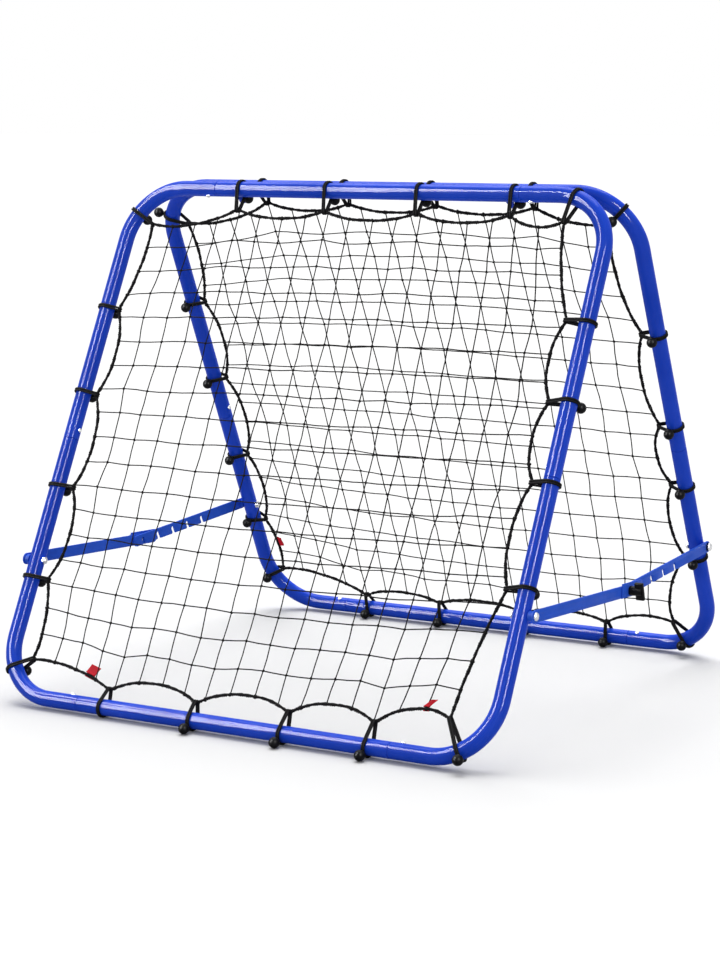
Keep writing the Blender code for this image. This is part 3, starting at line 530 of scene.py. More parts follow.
REAR.left_loops = [0.262 * REAR.leg, 0.441 * REAR.leg, 0.628 * REAR.leg, REAR.pivot + 0.035]
REAR.right_loops = [0.290 * REAR.leg, 0.487 * REAR.leg, 0.618 * REAR.leg, REAR.pivot + 0.030]
REAR.reach = {
    "top": [0.028] * LOOPS,
    "bottom": [0.029] * LOOPS,
    "left": [0.024] * LOOPS,
    "right": [0.028, 0.026, 0.024, 0.024],
}

# Corner loops: (side, end) gives the turn round the bend from the level tube, and the rope's distance
FRONT.corner_loops = {
    (-1, 1): (radians(60), 0.039),
    (1, 1): (radians(20), 0.044),
    (-1, -1): (radians(54), 0.036),
    (1, -1): (radians(28), 0.058),
}
REAR.corner_loops = {
    (-1, 1): (radians(66), 0.031),
    (1, 1): (radians(48), 0.028),
    (-1, -1): (radians(66), 0.028),
    (1, -1): (radians(28), 0.038),
}

# How far the rope draws in between each two loops of a side
FRONT.draw = {
    "top": [0.017] * SPANS,
    "bottom": [0.013, 0.024, 0.024, 0.024, 0.022],
    "left": [0.012, 0.021, 0.022, 0.023, 0.012],
    "right": [0.009, 0.019, 0.019, 0.019, 0.006],
}
REAR.draw = {
    "top": [0.017] * SPANS,
    "bottom": [0.018] * SPANS,
    "left": [0.014, 0.023, 0.024, 0.020, 0.012],
    "right": [0.020] * SPANS,
}

# Toggle balls that sit off the line of the others, as (out of plane, inwards)
FRONT.odd_balls = {
    "bottom_1": FRONT.turned_in(*LOW_BALL_BEHIND),
    "right_1": (cos(INNER_BALL_TILT), sin(INNER_BALL_TILT)),
    "right_2": (cos(BALL_TILT_BY_ARM), -sin(BALL_TILT_BY_ARM)),
    "right_3": (cos(INNER_BALL_TILT), sin(INNER_BALL_TILT)),
    "lower_left": FRONT.turned_in(*LOW_BALL_BEHIND),
    "upper_left": (1, 0),
    "upper_right": (1, 0),
}
REAR.odd_balls = {"upper_left": (-cos(OUTER_BALL_TILT), -sin(OUTER_BALL_TILT))}


# Tubes


def tube(name, start, heading, runs):
    """A round tube with broken edges, drawn along its runs: lengths and (centre, angle) bends."""
    heading = Vector(heading)
    here = Vector(start) + heading * SEAM_GAP
    slim = TUBE_RADIUS - TUBE_EDGE
    grow = TUBE_RADIUS / slim
    pick()
    turn = heading.to_track_quat("Z", "Y").to_euler()
    bpy.ops.mesh.primitive_circle_add(
        vertices=TUBE_SIDES, radius=slim, fill_type="NGON", location=here, rotation=turn
    )
    obj = active()
    obj.name = name
    settle(obj)
    edit(obj, "FACE")
    draw_out(heading * TUBE_EDGE)
    here = here + heading * TUBE_EDGE
    resize((grow, grow, grow), here)
    for run in runs:
        if isinstance(run, tuple):
            centre, angle = run
            bpy.ops.mesh.spin(steps=BEND_STEPS, angle=-angle, center=centre, axis=(0, 1, 0))
            turn = Matrix.Rotation(angle, 3, "Y")
            here = centre + turn @ (here - centre)
            heading = turn @ heading
        else:
            draw_out(heading * run)
            here = here + heading * run
    draw_out(heading * TUBE_EDGE)
    here = here + heading * TUBE_EDGE
    resize((1 / grow, 1 / grow, 1 / grow), here)
    leave_edit()
    close_up(obj)
    smooth(obj)
    return obj


def corner_tube(plane, side, end):
    """An L of tube. side is -1 for left and +1 for right, end +1 for the top and -1 for the bottom."""
    level = 0 if end > 0 else -plane.leg
    node = f"{plane.name}_{'upper' if end > 0 else 'lower'}_{'left' if side < 0 else 'right'}_tube"
    centre = Vector((side * (HALF_WIDTH - CORNER_RADIUS), 0, level - end * CORNER_RADIUS))
    leg = plane.seam if end > 0 else plane.leg - plane.seam
    ends = SEAM_GAP + TUBE_EDGE
    level_run = HALF_WIDTH - CORNER_RADIUS - SEAM - ends
    runs = [level_run, (centre, side * end * pi / 2), leg - CORNER_RADIUS - ends]
    obj = tube(f"{node}_gloss", (side * SEAM, 0, level), (side, 0, 0), runs)
    settle(obj, plane.matrix)
    finished(obj, GLOSS_BLUE, plane.body, "tube_blue", node)


def hinge_ear(plane, side):
    """A plate welded under the top tube, with its round end on the fold axis."""
    y, z = plane.turned_in(plane.sign * TOP_SPACING / 2, -HINGE_DROP)
    to_fold = Vector((y, z))
    middle = -Vector((1, 0)).angle_signed(to_fold)
    ends = arc(to_fold, EAR_RADIUS, middle + pi / 2, middle - pi / 2, 20)
    seat = arc((0, 0), TUBE_RADIUS - WELD_DEPTH, middle - EAR_SPREAD, middle + EAR_SPREAD, 10)
    start = HINGE_X + (CLEARANCE / 2 if plane is REAR else -CLEARANCE / 2 - EAR_THICKNESS)
    outlines = [seat[::-1] + ends[::-1], circle(to_fold, HOLE_RADIUS)]
    ear = flat_piece("ear", outlines, EAR_THICKNESS, EDGE_BREAK)
    middle_x = side * (start + EAR_THICKNESS / 2)
    settle(ear, Matrix(((0, 0, 1, middle_x), (1, 0, 0, 0), (0, 1, 0, 0), (0, 0, 0, 1))))
    return ear


def level_tube(plane, end):
    level = 0 if end > 0 else -plane.leg
    node = f"{plane.name}_{'top' if end > 0 else 'bottom'}_tube"
    obj = tube(f"{node}_gloss", (-SEAM, 0, level), (1, 0, 0), [2 * (SEAM - SEAM_GAP - TUBE_EDGE)])
    if end > 0:
        obj = joined(obj.name, [obj, hinge_ear(plane, -1), hinge_ear(plane, 1)])
    settle(obj, plane.matrix)
    finished(obj, GLOSS_BLUE, plane.body, "tube_blue", node)


# Border ropes and nets


def scalloped(stops, inward, draws):
    """Points along one side, drawn inwards between each two loops."""
    points = []
    for near, far, draw in zip(stops, stops[1:], draws):
        for k in range(SCALLOP_STEPS):
            share = k / SCALLOP_STEPS
            points.append(near.lerp(far, share) + inward * draw * (1 - abs(2 * share - 1) ** SCALLOP_POWER))
    return [*points, stops[-1]]


def border_sides(plane):
    """The rope's centreline, as four sides of points, each from its left or upper end."""
    back = ROPE_WIDTH / 2
    ends = {}
    for (side, end), (turn, reach) in plane.corner_loops.items():
        x = side * (HALF_WIDTH - CORNER_RADIUS)
        z = -CORNER_RADIUS if end > 0 else CORNER_RADIUS - plane.leg
        inside = CORNER_RADIUS - reach - back
        ends[side, end] = Vector((x + side * inside * sin(turn), z + end * inside * cos(turn)))
    reach, draw = plane.reach, plane.draw
    loops = {
        "top": zip(plane.top_loops, reach["top"]),
        "bottom": zip(plane.bottom_loops, reach["bottom"]),
        "left": zip(plane.left_loops, reach["left"]),
        "right": zip(plane.right_loops, reach["right"]),
    }
    tops = [Vector((x, -off - back)) for x, off in loops["top"]]
    bottoms = [Vector((x, off + back - plane.leg)) for x, off in loops["bottom"]]
    lefts = [Vector((off + back - HALF_WIDTH, -depth)) for depth, off in loops["left"]]
    rights = [Vector((HALF_WIDTH - off - back, -depth)) for depth, off in loops["right"]]
    return {
        "top": scalloped([ends[-1, 1], *tops, ends[1, 1]], Vector((0, -1)), draw["top"]),
        "bottom": scalloped([ends[-1, -1], *bottoms, ends[1, -1]], Vector((0, 1)), draw["bottom"]),
        "left": scalloped([ends[-1, 1], *lefts, ends[-1, -1]], Vector((1, 0)), draw["left"]),
        "right": scalloped([ends[1, 1], *rights, ends[1, -1]], Vector((-1, 0)), draw["right"]),
    }


def evenly(points, count):
    """Points at equal steps along a line, with both of its ends."""
    lengths = [(far - near).length for near, far in zip(points, points[1:])]
    made, k, passed = [], 0, 0.0
    for i in range(count):
        want = sum(lengths) * i / (count - 1)
        while k < len(lengths) - 1 and passed + lengths[k] < want:
            passed += lengths[k]
            k += 1
        made.append(points[k].lerp(points[k + 1], min((want - passed) / lengths[k], 1)))
    return made


def border_rope(plane, sides):
    """Three strands laid round each other, with a slack that comes and goes."""
    ring = sides["top"][:-1] + sides["right"][:-1] + sides["bottom"][:0:-1] + sides["left"][:0:-1]
    ring = [Vector((point.x, 0, point.y)) for point in ring + ring[:1]]
    length = sum((far - near).length for near, far in zip(ring, ring[1:]))
    turns = round(length / ROPE_LAY)
    line = evenly(ring, turns * LAY_STEPS + 1)[:-1]
    square = Vector((0, 1, 0))
    (swell, often), (drift, seldom) = ROPE_SWELLS
    strands = []
    for strand in range(STRANDS):
        path = []
        for k, point in enumerate(line):
            across = (line[(k + 1) % len(line)] - line[k - 1]).normalized().cross(square)
            angle = 2 * pi * (k / LAY_STEPS + strand / STRANDS)
            slack = 1 + swell * sin(k * often + strand) + drift * sin(k * seldom)
            offset = (across * cos(angle) + square * sin(angle)) * ROPE_RADIUS * STRAND_PLACE * slack
            path.append(plane.matrix @ (point + offset))
        strands.append(path)
    obj = cords(f"{plane.name}_border_braid", strands, ROPE_RADIUS * STRAND_SHARE, closed=True)
    finished(obj, YARN, plane.body, "cord_black", f"{plane.name}_border_rope")


def knot_model():
    """A small tight knot, twisted in its middle."""
    pick()
    bpy.ops.mesh.primitive_uv_sphere_add(segments=7, ring_count=5, radius=KNOT_RADIUS)
    obj = active()
    edit(obj)
    resize((1.15, 0.8, 0.95), (0, 0, 0))
    choose(obj, lambda middle, normal: middle.z > 0.0002)
    bpy.ops.transform.rotate(value=0.5, orient_axis="Z", center_override=(0, 0, 0))
    leave_edit()
    smooth(obj, 60)
    return obj


def bends(points):
    """How far each point of a side is off its straight line: the side's broad curve, and what is left."""
    count = len(points) - 1
    off = [point - points[0].lerp(points[-1], k / count) for k, point in enumerate(points)]
    bow = [4 * k / count * (1 - k / count) for k in range(count + 1)]
    along_bow = sum((step * share for step, share in zip(off, bow)), Vector((0, 0)))
    height = along_bow / sum(share**2 for share in bow)
    return [(height * share, step - height * share) for step, share in zip(off, bow)]


def net_grid(sides):
    """Where the strands cross, with their ends on the rope."""
    edges = {name: evenly(points, CELLS + 1) for name, points in sides.items()}
    top, bottom = edges["top"], edges["bottom"]
    off = {name: bends(points) for name, points in edges.items()}
    grid = {}
    for i in range(CELLS + 1):
        for j in range(CELLS + 1):
            s, t = i / CELLS, j / CELLS
            point = top[0].lerp(top[-1], s).lerp(bottom[0].lerp(bottom[-1], s), t)
            for name, k, near in (("top", i, 1 - t), ("bottom", i, t), ("left", j, 1 - s), ("right", j, s)):
                broad, ripple = off[name][k]
                point += broad * near**SMOOTH_FADE + ripple * near**RIPPLE_FADE
            shake = KNOT_SHAKE if 0 < i < CELLS and 0 < j < CELLS else 0.0
            shift = [chance.uniform(-shake, shake) for _ in range(3)]
            grid[i, j] = Vector((point.x + shift[0], shift[1] * SHAKE_OUT, point.y + shift[2]))
    return grid


def net(plane, sides):
    """Twine knotted where it crosses, and tied to the rope at its ends."""
    grid = net_grid(sides)
    lines = [[grid[i, j] for j in range(CELLS + 1)] for i in range(1, CELLS)]
    lines += [[grid[i, j] for i in range(CELLS + 1)] for j in range(1, CELLS)]
    strands = []
    for line in lines:
        path = []
        for near, far in zip(line, line[1:]):
            slack = Vector([chance.uniform(-TWINE_SLACK, TWINE_SLACK) for _ in range(3)])
            path += [near, near.lerp(far, 0.5) + slack]
        strands.append([plane.matrix @ point for point in [*path, line[-1]]])
    obj = cords(f"{plane.name}_net_twine", strands, TWINE_RADIUS)
    finished(obj, TWINE, plane.body, "twine_black", f"{plane.name}_net")
    knot = knot_model()
    knots = []
    for (i, j), point in grid.items():
        on_side, on_end = i in (0, CELLS), j in (0, CELLS)
        if on_side and on_end:
            continue
        size = Matrix.Scale(BORDER_KNOT if on_side or on_end else 1.0, 4)
        turn = Matrix.Rotation(pi / 2, 4, "X") @ Matrix.Rotation(chance.uniform(0, pi), 4, "Z")
        knots.append(copy_of(knot, f"knot_{i}_{j}", plane.matrix @ Matrix.Translation(point) @ turn @ size))
    obj = joined(f"{plane.name}_net_knots", knots)
    bpy.data.objects.remove(knot)
    finished(obj, TWINE, plane.body, "twine_black")


# Elastic loops and toggle balls


def loop_places(plane):
    """Each loop: name, point on the tube, way to the net, reach, and its ball's (out of plane, inwards)."""
    top, low = plane.top_ball, plane.low_ball
    for k in range(LOOPS):
        number = k + 1
        at = Vector((plane.top_loops[k], 0))
        yield f"top_{number}", at, Vector((0, -1)), plane.reach["top"][k], (top[0], -top[1])
        at = Vector((plane.bottom_loops[k], -plane.leg))
        yield f"bottom_{number}", at, Vector((0, 1)), plane.reach["bottom"][k], low
        for side, word, depths in ((-1, "left", plane.left_loops), (1, "right", plane.right_loops)):
            at = Vector((side * HALF_WIDTH, -depths[k]))
            yield f"{word}_{number}", at, Vector((-side, 0)), plane.reach[word][k], (plane.sign, 0)
    tilt = TOP_CORNER_BALL_TILT
    for (side, end), (turn, reach) in plane.corner_loops.items():
        out = Vector((side * sin(turn), end * cos(turn)))
        level = -CORNER_RADIUS if end > 0 else CORNER_RADIUS - plane.leg
        at = Vector((side * (HALF_WIDTH - CORNER_RADIUS), level)) + out * CORNER_RADIUS
        ball = (plane.sign * cos(tilt), sin(tilt)) if end > 0 else low
        yield f"{'upper' if end > 0 else 'lower'}_{'left' if side < 0 else 'right'}", at, -out, reach, ball


def loop_ring(rope_at):
    """The way round the tube and the rope, as (towards the net, out of plane) points."""
    rope_round = ROPE_RADIUS + CORD_RADIUS
    start = pi / 2 - asin((LOOP_RADIUS - rope_round) / rope_at)
    ring = arc((0, 0), LOOP_RADIUS, start, 2 * pi - start, 22)
    return ring + arc((rope_at, 0), rope_round, -start, start, 8)


def elastic_loop(plane, name, at, way, reach, ball, ball_form):
    """Two strands round the tube and the rope, parted a little at the rope, and their ball."""
    ahead = Vector((way.x, 0, way.y))
    square = Vector((0, 1, 0))
    across = ahead.cross(square)
    middle = Vector((at.x, 0, at.y))
    rope_at = reach + ROPE_WIDTH / 2
    lean = chance.uniform(-LOOP_LEAN, LOOP_LEAN)
    spread = chance.uniform(0.0, LOOP_SPREAD)
    paths = []
    for twin in (-1, 1):
        path = []
        for towards, out in loop_ring(rope_at):
            share = min(max(towards / rope_at, 0), 1)
            shift = twin * (CORD_RADIUS - LOOP_SQUEEZE + spread * share) + lean * (1 - share)
            path.append(plane.matrix @ (middle + ahead * towards + square * out + across * shift))
        paths.append(path)
    obj = cords(f"{plane.name}_elastic_{name}", paths, CORD_RADIUS, closed=True, sides=2)
    finished(obj, ELASTIC, plane.body, "cord_black", f"{plane.name}_border_rope")
    ball = plane.odd_balls.get(name, ball)
    offset = (square * ball[0] + ahead * ball[1]).normalized()
    place = plane.matrix @ aimed(middle + offset * BALL_REACH + across * lean, offset)
    toggle = copy_of(ball_form, f"{plane.name}_toggle_{name}", place)
    finished(toggle, MOULDED, plane.body, "knob_black", f"{plane.name}_border_rope")


def ball_model():
    """A toggle ball: a low collar where the cord goes in, and a hole in the far end."""
    pick()
    bpy.ops.mesh.primitive_uv_sphere_add(segments=28, ring_count=18, radius=BALL_RADIUS)
    obj = active()
    edit(obj)
    choose(obj, lambda middle, normal: middle.z > BALL_RADIUS * 0.975)
    bpy.ops.mesh.inset(thickness=0.0003, depth=0)
    bpy.ops.mesh.inset(thickness=0.0002, depth=-0.0022)
    choose(obj, lambda middle, normal: middle.z < -BALL_RADIUS * 0.88)
    bpy.ops.mesh.inset(thickness=0.0003, depth=0.0005)
    leave_edit()
    smooth(obj, 40)
    return obj


# Red tags


def ribbon_tag(word, plane, side, share, inward, width, height, slant):
    """A ribbon folded round the rope, with its two ends lying together and leaning along the rope."""
    place = share * (len(side) - 1)
    k = int(place)
    base = side[k].lerp(side[k + 1], place - k)
    along = (side[k + 1] - side[k]).normalized()
    away = (inward - along * inward.dot(along)).normalized()
    round_rope = ROPE_RADIUS + 0.0007
    fold = [(-u, v) for v, u in arc((0, 0), round_rope, -pi / 2, pi / 2, 8)]
    rim = 0.0045  # where the ribbon leaves the rope
    ends = [(rim, 0.0022), (0.0075, 0.0009), (0.0115, 0.0006), (height, 0.0009)]
    section = [(u, -v) for u, v in ends[::-1]] + fold + ends
    columns = 6
    verts, faces = [], []
    for u, v in section:
        for column in range(columns + 1):
            step = column / columns - 0.5
            lean = slant * max(u - rim, 0)
            curl = 0.0016 * sin(pi * step * 1.5) * max(u - 0.004, 0) / height
            at = base + along * (step * width + lean) + away * (u + 0.1 * lean * step)
            verts.append(plane.matrix @ Vector((at.x, v + curl, at.y)))
    wide = columns + 1
    for row in range(len(section) - 1):
        for column in range(columns):
            k = row * wide + column
            faces.append((k, k + 1, k + wide + 1, k + wide))
    mesh = bpy.data.meshes.new(f"tag_{word}_ribbon")
    mesh.from_pydata(verts, [], faces)
    obj = bpy.data.objects.new(mesh.name, mesh)
    bpy.context.scene.collection.objects.link(obj)
    modify(obj, "SOLIDIFY", thickness=0.0004, offset=0)
    close_up(obj)
    smooth(obj, 40)
    finished(obj, RIBBON, plane.body, "tag_red", f"tag_{word}")
    length = sum((Vector(far) - Vector(near)).length for near, far in zip(section, section[1:]))


# Fasteners


def screw_model():
    """A pan head screw with a cross slot. Its head points along -z, and z = 0 is under the head."""
    profile = [(0.0014, 0.0075), (0.0020, 0.0069), (0.0020, 0.0), (0.0042, 0.0), (0.0042, -0.0008)]
    profile += [(0.0039, -0.0015), (0.0032, -0.0020), (0.0020, -0.0022)]
    obj = turned("screw", profile, sides=24)
    for turn in (0, pi / 2):
        pick()
        bpy.ops.mesh.primitive_cube_add(size=1, location=(0, 0, -0.0022), rotation=(0, 0, turn))
        slot = active()
        slot.scale = (0.0048, 0.0009, 0.0022)
        settle(slot)
        modify(obj, "BOOLEAN", operation="DIFFERENCE", object=slot)
        bpy.data.objects.remove(slot)
    smooth(obj)
    return obj


def screws(plane, form):
    """Six a frame, on the net's side of the tubes, with their tips pointing away from it."""
    level = SEAM + SCREW_FROM_SEAM
    leg = plane.seam - SCREW_FROM_SEAM
    places = []
    for side, word in ((-1, "left"), (1, "right")):
        places.append((f"top_{word}", (side * level, 0, 0), (0, 0, 1)))
        places.append((f"leg_{word}", (side * HALF_WIDTH, 0, -leg), (side, 0, 0)))
        places.append((f"bottom_{word}", (side * level, 0, -plane.leg), (0, 0, -1)))
    for name, centre, tip in places:
        seat = Vector(centre) - Vector(tip) * (TUBE_RADIUS + CLEARANCE)
        node = f"{plane.name}_screw_{name}"
        obj = copy_of(form, f"{node}_cross_head", plane.matrix @ aimed(seat, tip))
        finished(obj, ZINC, plane.body, "zinc_steel", node)


def bolt(node, matrix, length, body):
    """A domed bolt. Its tip points along its own z, and z = 0 is under its head."""
    profile = [(0.0032, length), (BOLT_RADIUS, length - 0.0008), (BOLT_RADIUS, 0), (0.0075, 0)]
    profile += [(0.0075, -0.0009), (0.0071, -0.0020), (0.0060, -0.0033)]
    profile += [(0.0043, -0.0041), (0.0022, -0.0045)]
    obj = turned(f"{node}_domed", profile)
    settle(obj, matrix)
    finished(obj, ZINC, body, "zinc_steel", node)


def nut_model():
    """A hexagon nut with broken corners, on its seat at z = 0."""
    bore = (BOLT_RADIUS + 0.0001) / cos(pi / 24)
    obj = turned("nut", [(0.0066, 0), (0.0075, 0.0004), (0.0075, 0.0041), (0.0066, 0.0045)], sides=6)
    hole = turned("hole", [(bore, -0.002), (bore, 0.008)], sides=24)
    modify(obj, "BOOLEAN", operation="DIFFERENCE", object=hole)
    bpy.data.objects.remove(hole)
    round_edges(obj, 0.0002)
    smooth(obj, 30)
    return obj


def spacer_model(length):
    """A ring with broken edges, on its seat at z = 0."""
    profile = [(HOLE_RADIUS, 0), (0.0086, 0), (0.0090, 0.0004), (0.0090, length - 0.0004)]
    profile += [(0.0086, length), (HOLE_RADIUS, length), (HOLE_RADIUS, 0)]
    return turned("spacer", profile, bored=True)


def hinge_fasteners(nut_form):
    half = EAR_THICKNESS + CLEARANCE / 2
    for side, word in ((-1, "left"), (1, "right")):
        head = (side * (HINGE_X + half + CLEARANCE), FOLD_Y, FOLD_Z)
        seat = (side * (HINGE_X - half - CLEARANCE), FOLD_Y, FOLD_Z)
        way = (-side, 0, 0)
        length = 2 * (half + CLEARANCE) + HINGE_BOLT_TIP
        bolt(f"hinge_bolt_{word}", aimed(head, way), length, "front_frame")
        obj = copy_of(nut_form, f"hinge_nut_{word}_hex", aimed(seat, way))
        finished(obj, ZINC, "front_frame", "zinc_steel", f"hinge_nut_{word}")


def pivot_fasteners(plane, arm_x, nut_form):
    leg_face = HALF_WIDTH + TUBE_RADIUS + CLEARANCE
    under_head = arm_x + ARM_THICKNESS + CLEARANCE
    nut_seat = HALF_WIDTH - TUBE_RADIUS - CLEARANCE
    spacer_form = spacer_model(arm_x - CLEARANCE - leg_face)
    for side, word in ((-1, "left"), (1, "right")):
        node = f"{plane.name}_spacer_{word}"
        place = plane.matrix @ aimed((side * leg_face, 0, -plane.pivot), (side, 0, 0))
        obj = copy_of(spacer_form, f"{node}_ring", place)
        finished(obj, SATIN_BLUE, plane.body, "arm_blue", node)
        place = plane.matrix @ aimed((side * under_head, 0, -plane.pivot), (-side, 0, 0))
        length = under_head - nut_seat + PIVOT_BOLT_TIP
        bolt(f"{plane.name}_pivot_bolt_{word}", place, length, plane.body)
        node = f"{plane.name}_pivot_nut_{word}"
        place = plane.matrix @ aimed((side * nut_seat, 0, -plane.pivot), (-side, 0, 0))
        obj = copy_of(nut_form, f"{node}_hex", place)
        finished(obj, ZINC, plane.body, "zinc_steel", node)
    bpy.data.objects.remove(spacer_form)


# Arms


def bar_outline(length, notches):
    """A bar from its pivot at the origin, with round ends and notches open in its lower edge."""
    half = ARM_WIDTH / 2
    outline = arc((0, 0), half, pi * 3 / 2, pi / 2, 20) + arc((length, 0), half, pi / 2, -pi / 2, 20)
    for along in sorted(notches, reverse=True):
        far = along - NOTCH_LEAN + HOLE_RADIUS
        near = along - NOTCH_LEAN - HOLE_RADIUS
        outline += [(far + 0.0022, -half), (far + 0.0006, -half + 0.003)]
        outline += arc((along, 0), HOLE_RADIUS, 0, pi, 14)
        outline += [(near, -half + 0.001), (near - 0.0008, -half)]
    return outline


def arm_axes(pivot, knee):
    """Axes of an arm: x towards the knee, y up and z along the pivot."""
    ahead = (knee - pivot).normalized()
    up = Vector((0, -ahead.z, ahead.y)) if ahead.y > 0 else Vector((0, ahead.z, -ahead.y))
    return Matrix.Translation(pivot) @ Matrix((ahead, up, ahead.cross(up))).transposed().to_4x4()


def guide_outline(knee_at):
    """A plate over the knee, rounded at its far corners and standing above the bar."""
    end = knee_at + FRONT_ARM_PAST_KNEE
    start = end - GUIDE_LENGTH
    low = -ARM_WIDTH / 2
    high = ARM_WIDTH / 2 + GUIDE_LIP
    far = end - GUIDE_CORNER
    low_corner = arc((far, low + GUIDE_CORNER), GUIDE_CORNER, -pi / 2, 0, 6)
    high_corner = arc((far, high - GUIDE_CORNER), GUIDE_CORNER, 0, pi / 2, 6)
    return [(start, low), *low_corner, *high_corner, (start, high)]


def wing_knob_model():
    """A round hub with two rounded wings, bored for the stud. Its seat is at z = 0."""
    profile = [(0.0084, 0), (0.0090, 0.0010), (0.0090, 0.0030), (0.0074, 0.0225), (0.0066, 0.0232)]
    hub = turned("hub", profile)
    pick()
    bpy.ops.mesh.primitive_cube_add(size=1, location=(0, 0, 0.0186))
    wings = active()
    wings.scale = (0.034, 0.007, 0.0168)
    settle(wings)
    edit(wings, "FACE")
    choose(wings, lambda middle, normal: abs(normal.x) > 0.9)
    bpy.ops.mesh.inset(thickness=0.0012, depth=0.0)
    resize((1.0, 0.55, 0.86), (0, 0, 0.0205))
    leave_edit()
    round_edges(wings, 0.0022, 4)
    modify(hub, "BOOLEAN", operation="UNION", object=wings)
    bpy.data.objects.remove(wings)
    bore = turned("bore", [(HOLE_RADIUS, -0.004), (HOLE_RADIUS, 0.0187)], sides=24)
    modify(hub, "BOOLEAN", operation="DIFFERENCE", object=bore)
    bpy.data.objects.remove(bore)
    smooth(hub, 40)
    return hub


def arms():
    front = FRONT.matrix @ Vector((0, 0, -FRONT.pivot))
    rear = REAR.matrix @ Vector((0, 0, -REAR.pivot))
    knee = front.lerp(rear, KNEE_SHARE) - Vector((0, 0, KNEE_SAG))
    front_length, rear_length = (knee - front).length, (knee - rear).length
    front_axis, rear_axis = arm_axes(front, knee), arm_axes(rear, knee)
    pivot_hole, knee_hole = circle((0, 0), HOLE_RADIUS), circle((front_length, 0), HOLE_RADIUS)
    notches = [rear_length - NOTCH_PITCH * k for k in range(NOTCHES)]
    front_bar = bar_outline(front_length + FRONT_ARM_PAST_KNEE - ARM_WIDTH / 2, [])
    rear_bar = bar_outline(rear_length + REAR_ARM_PAST_KNEE - ARM_WIDTH / 2, notches)
    guide_plate = guide_outline(front_length)
    stud_profile = [(0.0034, 0), (BOLT_RADIUS, 0.0006), (BOLT_RADIUS, STUD_LENGTH - 0.001)]
    stud_profile += [(0.0032, STUD_LENGTH)]
    knob_form = wing_knob_model()
    for side, word in ((-1, "left"), (1, "right")):
        body = f"front_arm_{word}_body"
        outlines = [front_bar, pivot_hole, knee_hole]
        bar = flat_piece(f"front_arm_{word}_bar", outlines, ARM_THICKNESS, BAR_EDGE_BREAK)
        settle(bar, front_axis @ Matrix.Translation((0, 0, side * (FRONT_ARM_X + ARM_THICKNESS / 2))))
        finished(bar, SATIN_BLUE, body, "arm_blue", f"front_arm_{word}")
        bar = flat_piece(f"rear_arm_{word}_bar", [rear_bar, pivot_hole], ARM_THICKNESS, BAR_EDGE_BREAK)
        settle(bar, rear_axis @ Matrix.Translation((0, 0, -side * (REAR_ARM_X + ARM_THICKNESS / 2))))
        finished(bar, SATIN_BLUE, f"rear_arm_{word}_body", "arm_blue", f"rear_arm_{word}")
        outlines = [guide_plate, knee_hole]
        guide = flat_piece(f"guide_plate_{word}_lipped", outlines, GUIDE_THICKNESS, EDGE_BREAK)
        settle(guide, front_axis @ Matrix.Translation((0, 0, side * (GUIDE_X + GUIDE_THICKNESS / 2))))
        finished(guide, SATIN_BLUE, body, "arm_blue", f"guide_plate_{word}")
        stud = turned(f"knee_stud_{word}_turned", stud_profile)
        settle(stud, aimed((side * FRONT_ARM_X, knee.y, knee.z), (side, 0, 0)))
        finished(stud, ZINC, body, "zinc_steel", f"knee_stud_{word}")
        turn = Matrix.Rotation(KNOB_TURNS[word], 4, "X") @ Matrix.Rotation(side * pi / 2, 4, "Y")
        place = Matrix.Translation((side * KNOB_X, knee.y, knee.z)) @ turn
        knob = copy_of(knob_form, f"wing_knob_{word}_moulded", place)
        finished(knob, MOULDED, f"wing_knob_{word}_body", "knob_black", f"wing_knob_{word}")
    bpy.data.objects.remove(knob_form)


# Making the pieces

ball_form = ball_model()
screw_form = screw_model()
nut_form = nut_model()
for plane in (FRONT, REAR):
    for end in (1, -1):
        level_tube(plane, end)
        for side in (-1, 1):
            corner_tube(plane, side, end)
    screws(plane, screw_form)
    sides = border_sides(plane)
    border_rope(plane, sides)
    net(plane, sides)
    for place in loop_places(plane):
        elastic_loop(plane, *place, ball_form)
hinge_fasteners(nut_form)
pivot_fasteners(FRONT, FRONT_ARM_X, nut_form)
pivot_fasteners(REAR, FRONT_ARM_X, nut_form)
arms()
for form in (ball_form, screw_form, nut_form):
    bpy.data.objects.remove(form)

bottom = border_sides(FRONT)["bottom"]
left = border_sides(REAR)["left"]
inwards = {"bottom": Vector((0, 1)), "left": Vector((1, 0))}
ribbon_tag("front_left", FRONT, bottom, 0.145, inwards["bottom"], width=0.021, height=0.022, slant=0.25)
ribbon_tag("front_right", FRONT, bottom, 0.93, inwards["bottom"], width=0.011, height=0.017, slant=1.1)
ribbon_tag("rear", REAR, left, 0.89, inwards["left"], width=0.020, height=0.012, slant=0.1)


# Floor, lights and camera

FLOOR_TO_OBJECT = (0.40, 0.40, 0.40)
FLOOR_TO_CAMERA = (0.69, 0.69, 0.69)  # white under the light that falls on it
SKY_LEVEL = 0.72
OVERHEAD_LEVEL = 3.0
OVERHEAD_SPREAD = radians(50)
OVERHEAD_FROM = (-0.25, 0.45, 1.0)
STREAK_RADIANCE = 60.0
STREAKS_AIM = (0, 0, 0.5)


def seen_directly(tree):
    """1 for what the camera sees, also in metal, and 0 for the light that falls on the object."""
    path = tree.nodes.new("ShaderNodeLightPath")
    seen = path.outputs["Is Camera Ray"]
    for name in ("Is Glossy Ray", "Is Transmission Ray"):
        either = tree.nodes.new("ShaderNodeMath")
        either.operation = "MAXIMUM"
        tree.links.new(seen, either.inputs[0])
        tree.links.new(path.outputs[name], either.inputs[1])
        seen = either.outputs[0]
    return seen


def pale_floor():
    pick()
    bpy.ops.mesh.primitive_plane_add(size=60, location=(0, 0, 0))
    floor = active()
    floor.name = "floor"
    paper = Finish("floor_paper", Specular_IOR_Level=0.0, Roughness=1.0)
    seen = Wire(paper, seen_directly(paper.tree))
    paper.set(Base_Color=paper.mix(seen, FLOOR_TO_OBJECT, FLOOR_TO_CAMERA))
    floor.data.materials.append(paper.material)


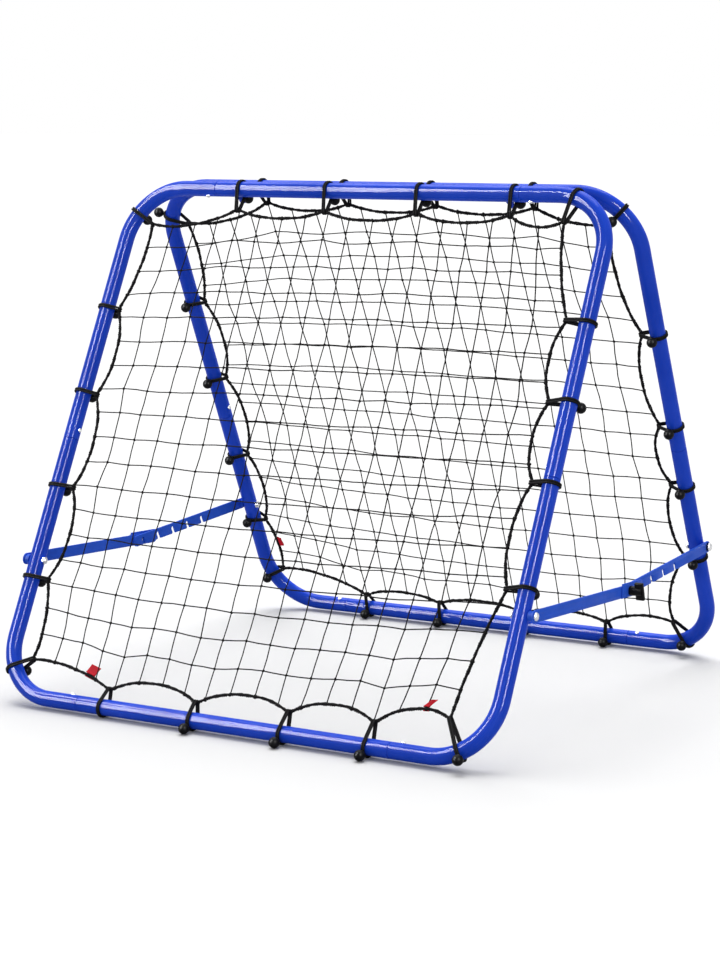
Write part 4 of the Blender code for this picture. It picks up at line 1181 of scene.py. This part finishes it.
def pale_world():
    world = bpy.data.worlds.new("studio")
    bpy.context.scene.world = world
    world.use_nodes = True
    tree = world.node_tree
    tree.nodes.clear()
    level = tree.nodes.new("ShaderNodeMapRange")
    level.inputs["To Min"].default_value = SKY_LEVEL
    tree.links.new(seen_directly(tree), level.inputs["Value"])
    sky = tree.nodes.new("ShaderNodeBackground")
    sky.inputs["Color"].default_value = (1, 1, 1, 1)
    tree.links.new(level.outputs[0], sky.inputs["Strength"])
    out = tree.nodes.new("ShaderNodeOutputWorld")
    tree.links.new(sky.outputs[0], out.inputs["Surface"])


def overhead_light():
    """Broad soft light from above and a little behind, which lays the tubes' shadow in front of them."""
    data = bpy.data.lights.new("overhead", "SUN")
    data.energy = OVERHEAD_LEVEL
    data.angle = OVERHEAD_SPREAD
    obj = bpy.data.objects.new("overhead", data)
    bpy.context.scene.collection.objects.link(obj)
    obj.rotation_euler = Vector(OVERHEAD_FROM).to_track_quat("Z", "Y").to_euler()


def streak_lamp(name, place, width, length):
    """A tall or long box that only gloss paint, plastic and metal show, as a streak along each tube."""
    data = bpy.data.lights.new(name, "AREA")
    data.shape = "RECTANGLE"
    data.size = width
    data.size_y = length
    data.energy = STREAK_RADIANCE * pi * width * length
    obj = bpy.data.objects.new(name, data)
    bpy.context.scene.collection.objects.link(obj)
    obj.location = place
    obj.rotation_euler = (Vector(STREAKS_AIM) - Vector(place)).to_track_quat("-Z", "Y").to_euler()
    obj.visible_diffuse = False


def camera():
    data = bpy.data.cameras.new("camera")
    data.lens = CAMERA_LENS
    data.sensor_width = 36
    data.clip_end = 100
    obj = bpy.data.objects.new("camera", data)
    bpy.context.scene.collection.objects.link(obj)
    level = cos(CAMERA_ELEVATION)
    ahead = Vector((-sin(CAMERA_AZIMUTH) * level, cos(CAMERA_AZIMUTH) * level, -sin(CAMERA_ELEVATION)))
    right = Vector((cos(CAMERA_AZIMUTH), sin(CAMERA_AZIMUTH), 0))
    up = right.cross(ahead)
    rolled = right * cos(CAMERA_ROLL) + up * sin(CAMERA_ROLL)
    up = up * cos(CAMERA_ROLL) - right * sin(CAMERA_ROLL)
    obj.location = CAMERA_TARGET - ahead * CAMERA_DISTANCE
    obj.rotation_euler = Matrix((rolled, up, -ahead)).transposed().to_euler()
    bpy.context.scene.camera = obj


camera()
pale_floor()
pale_world()
overhead_light()
streak_lamp("left_streak", (-2.4, -3.0, 2.0), width=1.3, length=3.0)
streak_lamp("right_streak", (3.4, -2.4, 2.6), width=0.9, length=3.0)
streak_lamp("level_streak", (-2.4, -1.7, 3.6), width=3.2, length=0.6)
bpy.context.scene.view_settings.view_transform = "Standard"
